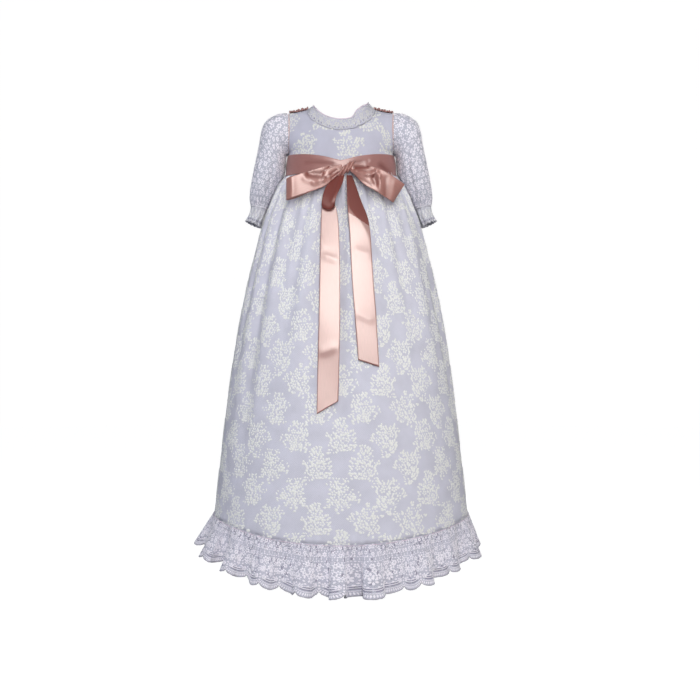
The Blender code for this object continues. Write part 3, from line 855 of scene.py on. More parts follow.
def sprig(chance):
    """One flowering sprig about its middle: a bunch of leaves that fan up, with blossoms in it."""
    x, y = strewn(chance, 64.0, 72.0, 5.0)
    x, y = x - 32.0, y - 36.0
    turn = np.arctan2(y, x)
    phase = chance.uniform(0.0, 6.0, 3)
    outline = 1 + 0.15 * np.sin(3 * turn + phase[0]) + 0.12 * np.sin(5 * turn + phase[1])
    outline += 0.08 * np.sin(9 * turn + phase[2])
    rho = np.hypot(x / 25.0, y / 29.0) / outline
    chosen = (rho < 1.0) & (chance.random(len(x)) > np.where(rho > 0.72, 0.34, 0.08))
    middles = []
    for n in range(3):
        aim = 2 * math.pi * n / 3 + phase[0]
        middles.append((11.0 * math.cos(aim), 13.0 * math.sin(aim)))
    for a, b in middles:
        chosen &= np.hypot(x - a, y - b) > 6.6
    marks = []
    for a, b in zip(x[chosen], y[chosen]):
        aim = math.atan2(34.0 - b, a * 1.3) + chance.normal(0.0, 0.6)
        marks.append(leaf_at(a, b, aim, chance.uniform(4.6, 8.8), chance.uniform(0.5, 0.72)))
    for a, b in middles:
        marks += blossom(a, b, chance.uniform(5.0, 6.0), chance.uniform(0.0, 6.0))
    for n in range(7):
        aim = math.radians(25.0 + 21.5 * n + chance.uniform(-6.0, 6.0))
        marks.append((0.0, 22.0, aim, 30.0 - 3.0 * abs(n - 3), 1.0, 0.0))
    return np.array(marks)


def scatter_sprigs(across, down, seed):
    """Sprigs at flat places, each a little different and every other one turned over."""
    chance = np.random.default_rng(seed)
    kinds = [sprig(np.random.default_rng(seed + n)) for n in range(6)]
    marks = []
    for x, y in zip(across, down):
        kind = kinds[chance.integers(len(kinds))].copy()
        if chance.random() < 0.5:
            kind[:, 0] *= -1
            kind[:, 2] = math.pi - kind[:, 2]
        size = chance.uniform(0.94, 1.06)
        kind[:, :2] *= size
        kind[:, 0] += x + chance.uniform(-1.0, 1.0)
        kind[:, 1] += y + chance.uniform(-1.5, 1.5)
        marks.append(kind)
    return np.concatenate(marks)


def half_drop(first, last, top, bottom, across, drop, phase_across, phase_down):
    """Places of a half-drop repeat between two columns and two heights of the flat cloth."""
    xs, ys = [], []
    for column in range(math.ceil((first - phase_across) / across),
                        math.floor((last - phase_across) / across) + 1):
        start = phase_down + (drop / 2 if column % 2 else 0.0)
        for row in range(math.ceil((top - start) / drop), math.floor((bottom - start) / drop) + 1):
            xs.append(phase_across + column * across)
            ys.append(start + row * drop)
    return xs, ys


def all_over_flowers(wide, tall, pitch, seed, petal, leaf):
    """Small blossoms a pitch apart over a flat cloth, with leaves strewn between them."""
    chance = np.random.default_rng(seed)
    marks = []
    xs, ys = strewn(chance, wide, tall, pitch)
    for x, y in zip(xs, ys):
        size = petal * chance.uniform(0.82, 1.12)
        marks += blossom(x, y, size, chance.uniform(0.0, 6.0), chance.integers(5, 7), 0.74)
    for x, y in zip(*strewn(chance, wide, tall, leaf)):
        if np.hypot(xs - x, ys - y).min() > petal + 0.9:
            marks.append(leaf_at(x, y, chance.uniform(0.0, 6.3), chance.uniform(3.6, 4.8), 0.56))
    return np.array(marks)


# Bodice

def shoulder_line(x):
    """Height of the shoulder seam, carried on up over the neck."""
    slope = (SHOULDER_Z - NECK_Z) / (SHOULDER_X - NECK_HALF)
    return NECK_Z + slope * (np.abs(x) - NECK_HALF)


def armhole_edge(z):
    """How far the armhole's edge lies in front of the shoulder and side seams."""
    middle = (SHOULDER_Z + ARMPIT_Z) / 2
    half = (SHOULDER_Z - ARMPIT_Z) / 2
    inside = np.clip(1 - ((z - middle) / half) ** 2, 0.0, 1.0)
    return ARMHOLE_DEPTH * np.sqrt(inside)


def bodice_shape(x, z, side):
    """Points of the bodice's frame. Side is -1 for the front and 1 for the back."""
    half = read(BODICE, 1, z)
    depth = read(BODICE, 2 if side < 0 else 3, z)
    drop = np.clip((shoulder_line(x) - z) / SHOULDER_ROUND, 0.0, 1.0)
    over = np.sqrt(np.clip(1 - (1 - drop) ** 2, 0.0, 1.0))
    edge = armhole_edge(z)
    near_side = 1 - roundness(x / half) * over
    y = depth * (1 - near_side) + edge * near_side**SIDE_POWER
    return np.stack([x, side * y, z], axis=-1)


def above_bodice(x, z, side, lift):
    """Points straight out from the bodice's frame."""
    x, z = np.broadcast_arrays(np.asarray(x, float), np.asarray(z, float))
    z = np.minimum(z, shoulder_line(x) - 0.01)
    here = bodice_shape(x, z, side)
    below = bodice_shape(x, z - 0.6, side)
    beside = bodice_shape(x + 0.6, z + shoulder_line(x + 0.6) - shoulder_line(x), side)
    outward = unit(np.cross(beside - here, here - below)) * -side
    return here + outward * np.asarray(lift)[..., None]


def neck_height(x, low):
    """Height of the neckline at x."""
    return NECK_Z + (low - NECK_Z) * np.clip(1 - (x / NECK_HALF) ** 2, 0.0, 1.0) ** NECK_POWER


def bodice_cloth(first, last, side, low, columns=96, rows=56):
    """A bodice panel between two shares of the half width."""
    shares = np.sin(np.linspace(math.asin(first), math.asin(last), columns + 1))
    x_top = shares * SHOULDER_X
    top = np.where(np.abs(x_top) < NECK_HALF, neck_height(x_top, low), shoulder_line(x_top))
    bottom = WAIST_Z - 0.5
    high = np.linspace(1.0, 0.0, rows + 1)[:, None] ** 1.2
    z = bottom + (top[None, :] - bottom) * high
    x = shares[None, :] * read(BODICE, 1, z)
    near_edge = np.abs(shares[None, :]) > 0.999
    lift = np.where(near_edge, FRAME_WALL * 0.5, FRAME_WALL)
    points = above_bodice(x, z, side, lift)
    points[..., 0] = np.where(near_edge, x + np.sign(x) * 0.7, points[..., 0])
    halfway = points[rows // 2]
    across = run_along(halfway) + halfway[0, 0] * BODICE_WRAP
    return Cloth(points, across, -z, other_hand=side > 0)


def build_bodice():
    """The front panel and the two back panels, each with its sprigs."""
    sizes = bpy.context.scene.gown_sizes
    finishes = (finish_named("bodice_lace"), finish_named("lining"))
    panels = (
        ("bodice_front", -1.0, 1.0, -1, NECK_FRONT_Z, 96, 11),
        ("bodice_back_left", -1.0, -0.0026, 1, NECK_BACK_Z, 48, 12),
        ("bodice_back_right", 0.0026, 1.0, 1, NECK_BACK_Z, 48, 13),
    )
    for name, first, last, side, low, columns, seed in panels:
        cloth = bodice_cloth(first, last, side, low, columns)
        panel = sew(name + "_cloth", cloth, sizes.lined_wall, finishes, inner=1)
        places = half_drop(
            cloth.across[0] - 20, cloth.across[-1] + 20, -10.0, 130.0,
            SPRIG_ACROSS + 3.0, SPRIG_DROP + 8.0, BODICE_SPRIG[0], -BODICE_SPRIG[1],
        )
        marks = scatter_sprigs(*places, seed)
        flowers = stitch(
            name + "_sprigs", cloth, marks, sizes.bodice_relief, finish_named("bodice_thread"),
        )
        declare([name])


# Skirt and hem lace

def back_folds():
    """Folds of the hidden back, like those in front and as uneven."""
    rows = []
    for n in range(BACK_FOLDS):
        angle = 84.0 + 192.0 * (n + 0.5) / BACK_FOLDS + 2.5 * math.sin(2.3 * n)
        depth = 5.5 + 1.3 * math.sin(1.7 * n)
        end = 430.0 + 130.0 * math.sin(2.9 * n + 1.0)
        rows.append((angle, angle + 2.5 * math.sin(1.3 * n), 4.8, depth, 12.0, end))
    return tuple(rows)


FOLDS = FRONT_FOLDS + back_folds()


def fold_depth(angle, z):
    """How far the skirt lies in from its rounded section, at angles in degrees."""
    below = WAIST_Z - z
    length = WAIST_Z - HEM_SIDE_Z
    depth = np.zeros(np.broadcast(angle, z).shape)
    for at_waist, at_hem, half, deep, start, end in FOLDS:
        middle = at_waist + (at_hem - at_waist) * below / length
        apart = (angle - middle + 180.0) % 360.0 - 180.0
        shown = smooth_step(start, start + 60.0, below)
        shown = shown * (1 - smooth_step(start + 0.4 * (end - start), end, below))
        depth += deep * shown * np.exp(-((apart / half) ** 2))
    return depth


def gather_depth(angle, z):
    """Gathers that run out of the sash: small ones that soon fade and softer ones that last."""
    below = WAIST_Z - z
    turn = np.radians(angle)
    shown = smooth_step(8.0, 20.0, below) * (1 - smooth_step(26.0, 120.0, below))
    small = np.sin(SMALL_GATHERS * turn + 1.6 * np.sin(7 * turn) + 0.8 * np.sin(17 * turn))
    soft = np.sin(SOFT_GATHERS * turn + 1.1 * np.sin(5 * turn))
    lasting = smooth_step(20.0, 80.0, below) * (1 - smooth_step(200.0, 560.0, below))
    return GATHER_DEPTH * (small * shown + soft * lasting)


def section(rows, angle, z, out):
    """Points round a rounded section, moved out from it."""
    turn = np.radians(angle)
    half = read(rows, 1, z)
    depth = np.where(np.cos(turn) > 0, read(rows, 2, z), read(rows, 3, z))
    x = half * np.sin(turn)
    y = -np.sign(np.cos(turn)) * depth * roundness(np.sin(turn))
    outward = unit(np.stack([x / half**2, y / depth**2], axis=-1))
    return np.stack(np.broadcast_arrays(
        x + outward[..., 0] * out, y + outward[..., 1] * out, z,
    ), axis=-1)


def skirt_shape(angle, z, out=0.0):
    """Points of the skirt's outer face, moved out from it."""
    return section(SKIRT, angle, z, FRAME_WALL + out - fold_depth(angle, z) + gather_depth(angle, z))


def hem_height(angle):
    """The hem seam is lowest in the middle of the front and a little low behind."""
    ahead = np.cos(np.radians(angle))
    dip = np.where(ahead > 0, HEM_FRONT_DIP, HEM_BACK_DIP)
    return HEM_SIDE_Z - dip * np.abs(ahead) ** HEM_DIP_POWER


def skirt_cloth(middle, columns=200, rows=92):
    """Half of the skirt about the middle of the front or the back."""
    angle = np.linspace(middle - 90.0, middle + 90.0, columns + 1)[None, :]
    t = np.linspace(0.0, 1.0, rows + 1)[:, None] ** 1.3
    top = WAIST_Z - 1.0
    hem = hem_height(angle)
    z = top + (hem - top) * t
    pucker = 0.7 * np.sin(np.radians(angle) * HEM_PUCKERS) * smooth_step(0.965, 1.0, t)
    points = skirt_shape(angle, z, pucker)
    width = SKIRT_SPRIGS_ROUND * SPRIG_ACROSS
    return Cloth(points, angle[0] / 360.0 * width, (WAIST_Z - z) * 1.02)


def build_skirt():
    """The skirt's front and back halves, each with its sprigs."""
    sizes = bpy.context.scene.gown_sizes
    finishes = (finish_named("lined_lace"), finish_named("lining"))
    for name, middle, seed in (("skirt_front", 0.0, 21), ("skirt_back", 180.0, 22)):
        cloth = skirt_cloth(middle)
        panel = sew(name + "_cloth", cloth, sizes.lined_wall, finishes, inner=1)
        places = half_drop(
            cloth.across[0], cloth.across[-1] - 1.0, -20.0, 700.0,
            SPRIG_ACROSS, SPRIG_DROP, 0.0, (WAIST_Z + 602.0) * 1.02,
        )
        marks = scatter_sprigs(*places, seed)
        flowers = stitch(
            name + "_sprigs", cloth, marks, sizes.skirt_relief, finish_named("flower_thread"),
            margin=0.2,
        )
        declare([name])


def flounce_wave(angle, share):
    """Out and sideways swing of the gathered hem lace."""
    turn = np.radians(angle)
    phase = FLOUNCE_WAVES * turn + 1.1 * np.sin(3 * turn + 0.6) + 0.7 * np.sin(7 * turn)
    uneven = 0.8 + 0.26 * np.sin(5 * turn + 1.0) + 0.2 * np.sin(11 * turn)
    grow = np.clip(share, 0.0, 1.2) ** 0.75
    small = np.sin(64 * turn + np.sin(9 * turn)) * (1.5 - np.clip(share, 0.0, 1.0))
    out = FLOUNCE_SWING * uneven * grow * np.cos(phase) + small
    return out, FLOUNCE_SWAY * uneven * grow * np.sin(2 * phase)


def flounce_shape(angle, down):
    """Points of the hem lace that far below the hem seam, along the lace.

    The lace is drawn up towards the sides and flares more at the left one.
    """
    share = down / FLOUNCE_LENGTH
    across = np.sin(np.radians(angle))
    side = np.abs(across) ** 3
    more = np.where(across < 0, FLOUNCE_LEAN_LEFT, FLOUNCE_LEAN_RIGHT)
    lean = np.radians(FLOUNCE_LEAN + more * side)
    swing, sideways = flounce_wave(angle, share)
    down = down * (1 - FLOUNCE_DRAWN_UP * side**0.8)
    out = np.maximum(down, 0.0) * np.sin(lean) + swing + 0.9
    seam = hem_height(angle)
    points = skirt_shape(angle, seam, out)
    beside = skirt_shape(angle + 0.1, seam, out)
    points = points + unit(beside - points) * sideways[..., None]
    points[..., 2] = seam - 1.0 - down * np.cos(lean)
    return points


def scallops_at(phase):
    """How far a row of scallops stands out, from 0 between two of them to 1 at their middles."""
    return np.clip(1 - np.abs(2 * np.mod(phase, 1.0) - 1) ** 2.2, 0.0, 1.0) ** 0.6


def scallop_edge(across, pitch, length, lobe):
    """Length of a scalloped lace at each place across it."""
    return length + lobe * scallops_at(across / pitch)


# Rows of the hem lace: down from its top, and up from its scalloped edge. Then the chance of an
# eyelet in each row between the first and the edge's, an eyelet being a face of dark net that paints
# the shade seen through it.
FLOUNCE_TOP = (-3.2, 0.8, 6.0, 12.0, 17.0, 20.0, 24.5)
FLOUNCE_RIM = (16.5, 14.6, 12.8, 10.8, 9.0, 6.6, 4.2, 2.0, 0.0)
FLOUNCE_EYELETS = (0.30, 0.20, 0.10, 0.07, 0.05) + (0.06,) * 8


def flounce_cloth(middle):
    """Half of the hem lace, and which of its faces are open work, a dark net that paints the shade
    seen through it.
    """
    scallops = FLOUNCE_SCALLOPS // 2
    columns = scallops * FLOUNCE_COLUMNS
    across = np.linspace(0.0, scallops * FLOUNCE_PITCH, columns + 1)
    angle = middle - 90.0 + 180.0 * across / across[-1]
    edge = scallop_edge(across, FLOUNCE_PITCH, FLOUNCE_LENGTH - 1.0, FLOUNCE_LOBE)
    rows = [np.full(columns + 1, value) for value in FLOUNCE_TOP]
    for share in np.linspace(0.0, 1.0, 9)[1:-1]:
        rows.append(FLOUNCE_TOP[-1] + (edge - FLOUNCE_RIM[0] - FLOUNCE_TOP[-1]) * share)
    rows += [edge - value for value in FLOUNCE_RIM]
    down = np.array(rows)
    cloth = Cloth(flounce_shape(np.broadcast_to(angle, down.shape), down), across, down)
    worked = np.zeros((len(rows) - 1, columns), bool)
    place = np.arange(columns) % FLOUNCE_COLUMNS
    first = len(rows) - len(FLOUNCE_RIM)
    worked[first, np.isin(place, (3, 4, 5, 6, 8, 9, 10, 11))] = True
    worked[first + 2, np.isin(place, (2, 3, 4, 5, 6, 8, 9, 10, 11, 12))] = True
    draws = np.random.default_rng(77 + int(middle)).uniform(0.0, 1.0, (first, columns))
    worked[1:first] = draws[1:] < np.array(FLOUNCE_EYELETS)[:first - 1, None]
    return cloth, worked, edge


def flounce_marks(seed):
    """Flowers over each scallop, a fan along its edge, and leaves and blossoms above."""
    chance = np.random.default_rng(seed)
    marks = []
    scallops = FLOUNCE_SCALLOPS // 2
    for n in range(scallops):
        middle = (n + 0.5) * FLOUNCE_PITCH
        low = FLOUNCE_LENGTH + FLOUNCE_LOBE - 1.0
        top = low - 29.0
        marks += blossom(middle, top, 7.4, math.pi / 2, 6, 0.62)
        for side in (-1, 1):
            for k in range(6):
                aim = math.radians(270.0 + side * (18.0 + 27.0 * k))
                x = middle + 10.2 * math.cos(aim)
                y = top - 10.2 * math.sin(aim)
                marks.append((x, y, aim + side * 1.0, 6.0, 3.2, 0.0))
            marks += blossom(middle + side * 16.0, top + 9.0, 4.6, chance.uniform(0, 6), 5, 0.7)
            marks += blossom(middle + side * 19.0, top - 3.0, 4.2, chance.uniform(0, 6), 5, 0.7)
            for k in range(4):
                x = middle + side * (21.5 - 0.4 * k)
                marks.append((x, low - 26.0 + 5.0 * k, math.radians(-90.0 + side * 35.0), 5.2,
                              2.6, 0.0))
        for k in range(-7, 8):
            x = middle + k * 2.75
            y = float(scallop_edge(x, FLOUNCE_PITCH, FLOUNCE_LENGTH - 1.0, FLOUNCE_LOBE))
            marks.append((x, y - 7.8, math.radians(-90.0 + k * 5.0), 6.8, 2.6, 0.0))
    wide = scallops * FLOUNCE_PITCH
    for x in np.arange(1.5, wide, 9.0):
        marks.append((x, 25.0, math.pi / 2, 6.0, 2.2, 0.0))
    for x in np.arange(2.0, wide, 5.2):
        y = 18.0 + chance.uniform(-0.5, 0.5)
        marks.append((x, y, chance.uniform(-0.2, 0.2), 5.0, 2.2, 0.0))
        marks.append((x + 1.0, y + 8.0, chance.uniform(-0.3, 0.3), 4.8, 2.2, 0.0))
    for top, tall, pitch, size in ((28.0, 26.0, 11.0, 4.8), (-2.0, 20.0, 10.5, 4.3)):
        field = all_over_flowers(wide, tall, pitch, seed + int(tall), size, 4.6)
        field[:, 1] += top
        marks += [tuple(mark) for mark in field]
    return np.array(marks)


def build_hem_lace():
    """The front and back halves of the gathered lace, its edging and the seam that holds it."""
    sizes = bpy.context.scene.gown_sizes
    finishes = (finish_named("edging_lace"), finish_named("open_work_shade"))
    seam_lines = []
    for name, middle, seed in (("front", 0.0, 31), ("back", 180.0, 32)):
        cloth, worked, edge = flounce_cloth(middle)
        lace = sew(f"hem_lace_{name}", cloth, sizes.edging_wall, finishes, worked)
        flowers = stitch(
            f"hem_flowers_{name}", cloth, flounce_marks(seed), sizes.skirt_relief,
            finish_named("edging_thread"), margin=0.3,
        )
        arcs = []
        for off in (17.2, 13.7, 8.4):
            row = cloth.at(cloth.across, edge - off, np.full(len(edge), 0.35))
            for n in range(FLOUNCE_SCALLOPS // 2):
                start = n * FLOUNCE_COLUMNS
                arcs.append(row[start + 1:start + FLOUNCE_COLUMNS])
        edging = cord(
            f"hem_cords_{name}", [cloth.points[-1] - cloth.outward[-1] * 0.25],
            sizes.hem_cord / MM, finish_named("shadowed_cord_thread"), "edging_lace", bead=0.3,
            bead_pitch=3.4,
        )
        fine = cord(
            f"hem_arcs_{name}", arcs, 0.65, finish_named("edging_thread"), "edging_lace",
            sides=5,
        )
        declare([f"hem_ruffle_{name}"])
        angle = np.linspace(middle - 90.0, middle + 90.0, 241)[:-1]
        pucker = 1.9 + 0.6 * np.sin(np.radians(angle) * HEM_PUCKERS)
        seam_lines.append(skirt_shape(angle, hem_height(angle), pucker))
    seam = np.concatenate(seam_lines)
    cord("hem_seam", [seam], 0.5, finish_named("piping"), "edging_lace", closed=True,
         bead=0.3, bead_pitch=6.0)


# Sleeves and cuffs

SLEEVE_FLAT = 232.0
SLEEVE_EASE = 1.12
CAP_GATHERS = 11
WRIST_GATHERS = 26
CUFF_SCALLOPS = 14
CUFF_FLAT = 168.0

# The cuff's first ring lies this share of a ring up the sleeve, over the wrist: outer line x and
# z, underarm line x and z, half depth.
CUFF_OVERLAP = 0.25
CUFF_TOP = (165.9, -186.0, 137.0, -192.0, 22.2)


def sleeve_cloth(side, columns=96, rows=64):
    """A sleeve from its armhole ring to the gathered wrist."""
    turn = np.linspace(0.0, 2 * math.pi, columns + 1)[None, :]
    t = np.linspace(0.0, float(len(SLEEVE)), rows + 1)[:, None]
    top_x, low_x = SHOULDER_X + 0.9, float(read(BODICE, 1, ARMPIT_Z)) + 0.9
    rings = [(0.0, top_x, SHOULDER_Z, low_x, ARMPIT_Z, ARMHOLE_DEPTH)]
    rings += [(n + 1.0, *row) for n, row in enumerate(SLEEVE)]
    outer_x, outer_z, inner_x, inner_z, depth = (read(rings, n, t) for n in range(1, 6))
    cap = np.sin(CAP_GATHERS * turn + 0.7 * np.sin(2 * turn)) * np.clip(np.cos(turn), 0.0, 1.0)
    puff = 0.030 * cap * smooth_step(0.05, 0.5, t) * (1 - smooth_step(1.2, 3.2, t))
    wrist = np.sin(WRIST_GATHERS * turn + np.sin(3 * turn)) * smooth_step(7.4, 9.4, t) * 0.055
    soft = 0.018 * np.sin(5 * turn + t * 0.9) * smooth_step(2.0, 5.0, t)
    fold = np.exp(-(((turn - 1.3 - 0.11 * t) / 0.12) ** 2))
    fold_shown = smooth_step(2.5, 4.5, t) * (1 - smooth_step(8.0, 9.6, t))
    grow = 1 + puff + wrist + soft - 0.07 * fold * fold_shown
    across = np.cos(turn) * grow
    x = (outer_x + inner_x) / 2 + (outer_x - inner_x) / 2 * across
    z = (outer_z + inner_z) / 2 + (outer_z - inner_z) / 2 * across
    near = np.clip(1 - t, 0.0, 1.0) ** 2
    x += near * (read(BODICE, 1, z) + 0.9 - x)
    power = 1 - 0.28 * smooth_step(2.2, 4.5, t)
    bulge = np.sign(np.sin(turn)) * np.abs(np.sin(turn)) ** power
    y = -depth * bulge * grow
    points = np.stack([side * x, y, z], axis=-1)
    down = run_along(points.mean(axis=1))[:, None] * SLEEVE_EASE
    flat_across = turn[0] / (2 * math.pi) * SLEEVE_FLAT
    return Cloth(points, flat_across, down, closed=True, other_hand=side > 0)


def cuff_cloth(side):
    """A gathered lace frill below the wrist, with slots over its scallops in a dark, partly clear
    net that paints the shade seen through them.
    """
    per = 10
    columns = CUFF_SCALLOPS * per
    across = np.linspace(0.0, CUFF_FLAT, columns + 1)
    pitch = CUFF_FLAT / CUFF_SCALLOPS
    edge = scallop_edge(across, pitch, 26.0, 3.4)
    shares = np.array([0.0, 0.12, 0.26, 0.4, 0.54, 0.66, 0.77, 0.86, 0.94, 1.0])[:, None]
    down = shares * edge[None, :]
    turn = (across / CUFF_FLAT * 2 * math.pi)[None, :]
    ring = down / 28.0 * 2.0
    t = ring - CUFF_OVERLAP * (1 - ring / 2)
    rows = [(-CUFF_OVERLAP, *CUFF_TOP)]
    rows += [(float(n), *row) for n, row in enumerate(CUFF)]
    outer_x, outer_z, inner_x, inner_z, depth = (read(rows, n, t) for n in range(1, 6))
    over = np.clip(t - 2.0, 0.0, 1.0)
    wave = (0.02 + 0.05 * t / 2) * np.sin(11 * turn + 0.8 * np.sin(2 * turn))
    pucker = 0.05 * np.sin(WRIST_GATHERS * turn) * (1 - smooth_step(0.0, 0.9, t))
    swing = np.cos(turn) * (1 + wave + pucker)
    x = (outer_x + inner_x) / 2 + (outer_x - inner_x) / 2 * swing + over * 2.0
    z = (outer_z + inner_z) / 2 + (outer_z - inner_z) / 2 * swing - over * 12.0
    y = -depth * np.sin(turn) * (1 + wave + pucker)
    points = np.stack([side * x, y, z], axis=-1)
    worked = np.zeros((len(shares) - 1, columns), bool)
    place = np.arange(columns) % per
    worked[6, np.isin(place, (1, 2, 3, 6, 7, 8))] = True
    cloth = Cloth(points, across, down, closed=True, other_hand=side > 0)
    return cloth, worked, pitch


def cuff_marks(pitch, edge_length, seed):
    """A blossom over each scallop, with leaves beside it and a fan along the edge."""
    chance = np.random.default_rng(seed)
    marks = []
    for n in range(CUFF_SCALLOPS):
        middle = (n + 0.5) * pitch
        marks += blossom(middle, edge_length * 0.55, 3.6, chance.uniform(0, 6))
        for side in (-1, 1):
            marks.append((middle + side * 3.2, edge_length * 0.72, math.radians(
                90.0 - side * 70.0), 3.6, 1.9, 0.0))
            marks.append((middle + side * 3.0, edge_length * 0.3, math.radians(
                90.0 - side * 40.0), 3.8, 1.9, 0.0))
        marks += blossom(middle + pitch / 2, edge_length * 0.36, 2.6, chance.uniform(0, 6))
        for k in (-2, -1, 0, 1, 2):
            marks.append((middle + k * 2.2, edge_length * (0.92 - 0.02 * abs(k)), math.radians(
                -90.0 + k * 12.0), 3.0, 1.6, 0.0))
    return np.array(marks)


def build_sleeves():
    """Both sleeves, with their flowers and the seams at armhole and wrist."""
    sizes = bpy.context.scene.gown_sizes
    for name, side, seed in (("left", -1, 41), ("right", 1, 42)):
        cloth = sleeve_cloth(side)
        sleeve = sew(f"sleeve_{name}_cloth", cloth, sizes.sheer_wall,
                     (finish_named("sheer_lace"),))
        height = float(cloth.down[-1, 0])
        marks = all_over_flowers(SLEEVE_FLAT, height, 12.6, seed, 5.2, 5.0)
        flowers = stitch(
            f"sleeve_{name}_flowers", cloth, marks, sizes.sleeve_relief,
            finish_named("edging_thread"),
        )
        seam = cord(f"armhole_seam_{name}", [cloth.points[0, :-1]], 1.25,
                    finish_named("seam_thread"), "sleeve_lace", closed=True, bead=0.12,
                    bead_pitch=5.0)
        wrist = cord(f"wrist_seam_{name}", [cloth.points[-2, :-1]], 0.7,
                     finish_named("edging_thread"), "sleeve_lace", closed=True, bead=0.2,
                     bead_pitch=4.0)
        declare([f"sleeve_{name}"])


def build_cuffs():
    """Both cuff frills, with their flowers and rims."""
    sizes = bpy.context.scene.gown_sizes
    for name, side, seed in (("left", -1, 51), ("right", 1, 52)):
        cloth, worked, pitch = cuff_cloth(side)
        finishes = (finish_named("cuff_lace"), finish_named("open_work_shade"))
        frill = sew(f"cuff_{name}_lace", cloth, sizes.sheer_wall, finishes, worked)
        flowers = stitch(
            f"cuff_{name}_flowers", cloth, cuff_marks(pitch, 28.0, seed), sizes.cuff_relief,
            finish_named("cuff_thread"), margin=0.3,
        )
        rim = cord(f"cuff_{name}_rim", [cloth.points[-1, :-1]], 0.75,
                   finish_named("shadowed_cord_thread"), "edging_lace", closed=True, bead=0.25,
                   bead_pitch=2.6)
        declare([f"cuff_{name}"])


# Collar

COLLAR_FRONT = 20.0
COLLAR_SHOULDER = 8.5
COLLAR_RISE_LEFT = 3.5
COLLAR_RISE_RIGHT = 8.5
COLLAR_RUCK = 9.0
COLLAR_SCALLOPS = 20
COLLAR_PER = 10
COLLAR_BACK_SHARE = 0.23
OPENING_TURN = 1.5


def collar_shape(turn, share, side):
    """Points of the collar. Turn runs from -90 at the left shoulder to 90 at the right one."""
    angle = np.radians(turn)
    flat = np.clip(np.cos(angle), 0.0, 1.0) ** 0.5
    width = (COLLAR_SHOULDER + (COLLAR_FRONT - COLLAR_SHOULDER) * flat) * share
    tilt = np.radians(90.0 * (np.abs(turn) / 90.0) ** 2.2)
    x = NECK_HALF * np.sin(angle)
    z = neck_height(x, NECK_FRONT_Z if side < 0 else NECK_BACK_Z)
    x = x + np.sign(x) * width * np.sin(tilt)
    z = z - width * (np.cos(tilt) + 0.2 * np.sin(tilt))
    rise = np.where(angle < 0, COLLAR_RISE_LEFT, COLLAR_RISE_RIGHT)
    stand = (1 - share) * (1.0 + rise * np.abs(np.sin(angle)) ** 3)
    if side < 0:
        lifted = smooth_step(19.0, 29.0, x) * (1 - smooth_step(36.0, 52.0, x))
        stand = stand + (1 - share) * COLLAR_RUCK * lifted
    points = above_bodice(x, z, side, np.full(x.shape, FRAME_WALL + 1.1))
    points[..., 2] += stand
    return points


def collar_cloth():
    """The collar from the back opening round the left shoulder, the front and the right."""
    columns = COLLAR_SCALLOPS * COLLAR_PER
    s = np.linspace(0.0, 1.0, columns + 1)
    phase = np.linspace(0.0, COLLAR_SCALLOPS, columns + 1)
    edge = 0.90 + 0.13 * scallops_at(phase)
    shares = np.array([0.0, 0.14, 0.3, 0.46, 0.6, 0.72, 0.83, 0.92, 1.0])[:, None] * edge[None, :]
    back = COLLAR_BACK_SHARE
    left = -(OPENING_TURN + (90.0 - OPENING_TURN) * s / back)
    front = -90.0 + 180.0 * (s - back) / (1 - 2 * back)
    right = 90.0 - (90.0 - OPENING_TURN) * (s - 1 + back) / back
    points = np.zeros((len(shares), columns + 1, 3))
    for turn, side, use in (
        (left, 1, s < back),
        (front, -1, (s >= back) & (s <= 1 - back)),
        (right, 1, s > 1 - back),
    ):
        turn = np.broadcast_to(np.clip(turn[use], -90.0, 90.0), shares[:, use].shape)
        points[:, use] = collar_shape(turn, shares[:, use], side)
    return Cloth(points, run_along(points[5]), shares * COLLAR_FRONT)


def build_collar():
    """The collar with its flowers, its rim and the piping along the neckline."""
    sizes = bpy.context.scene.gown_sizes
    cloth = collar_cloth()
    columns = len(cloth.across) - 1
    worked = np.zeros((len(cloth.down) - 1, columns), bool)
    # These faces take the dark open-work net, painted shade seen through the collar's slots.
    worked[5, np.isin(np.arange(columns) % COLLAR_PER, (2, 3, 6, 7))] = True
    finishes = (finish_named("edging_lace"), finish_named("open_work_shade"))
    band = sew("collar_lace", cloth, sizes.edging_wall, finishes, worked)
    chance = np.random.default_rng(61)
    marks = []
    for n in range(COLLAR_SCALLOPS):
        low, high = cloth.across[n * COLLAR_PER], cloth.across[(n + 1) * COLLAR_PER]
        middle, half = (low + high) / 2, (high - low) / 2
        marks += blossom(middle, 10.4, 4.8, chance.uniform(0, 6), 5, 0.8)
        for side in (-1, 1):
            for down, lean in ((16.2, 20.0), (13.0, 65.0), (5.0, 120.0)):
                aim = math.radians(-90.0 + side * (lean + chance.uniform(-15.0, 15.0)))
                marks.append((middle + side * half * chance.uniform(0.4, 0.7), down, aim,
                              chance.uniform(3.8, 5.0), 2.8, 0.0))
    wide = float(cloth.across[-1])
    for x, y in zip(*strewn(chance, wide, 17.0, 4.6)):
        marks.append(leaf_at(x, y + 0.8, chance.uniform(0.0, 6.3), chance.uniform(3.4, 4.6), 0.6))
    flowers = stitch("collar_flowers", cloth, marks, sizes.collar_relief,
                     finish_named("collar_thread"), margin=0.3)
    rim = cord("collar_rim", [cloth.points[-1]], 0.5, finish_named("shadowed_cord_thread"),
               "edging_lace", bead=0.2, bead_pitch=2.6)
    piping = cord("neck_piping", [cloth.points[0] - cloth.outward[0] * 0.3],
                  sizes.neck_piping / MM, finish_named("piping"), "edging_lace")
    declare(["collar"])


# Ribbon

def trough_shade(points, folds, front):
    """How much painted shade each point of a ribbon takes in its troughs, from 0 to 1."""
    troughs = [row for row in folds if row[-1] < 0]
    return np.clip(-line_folds(points, troughs, front) / 2.2, 0.0, 1.0)


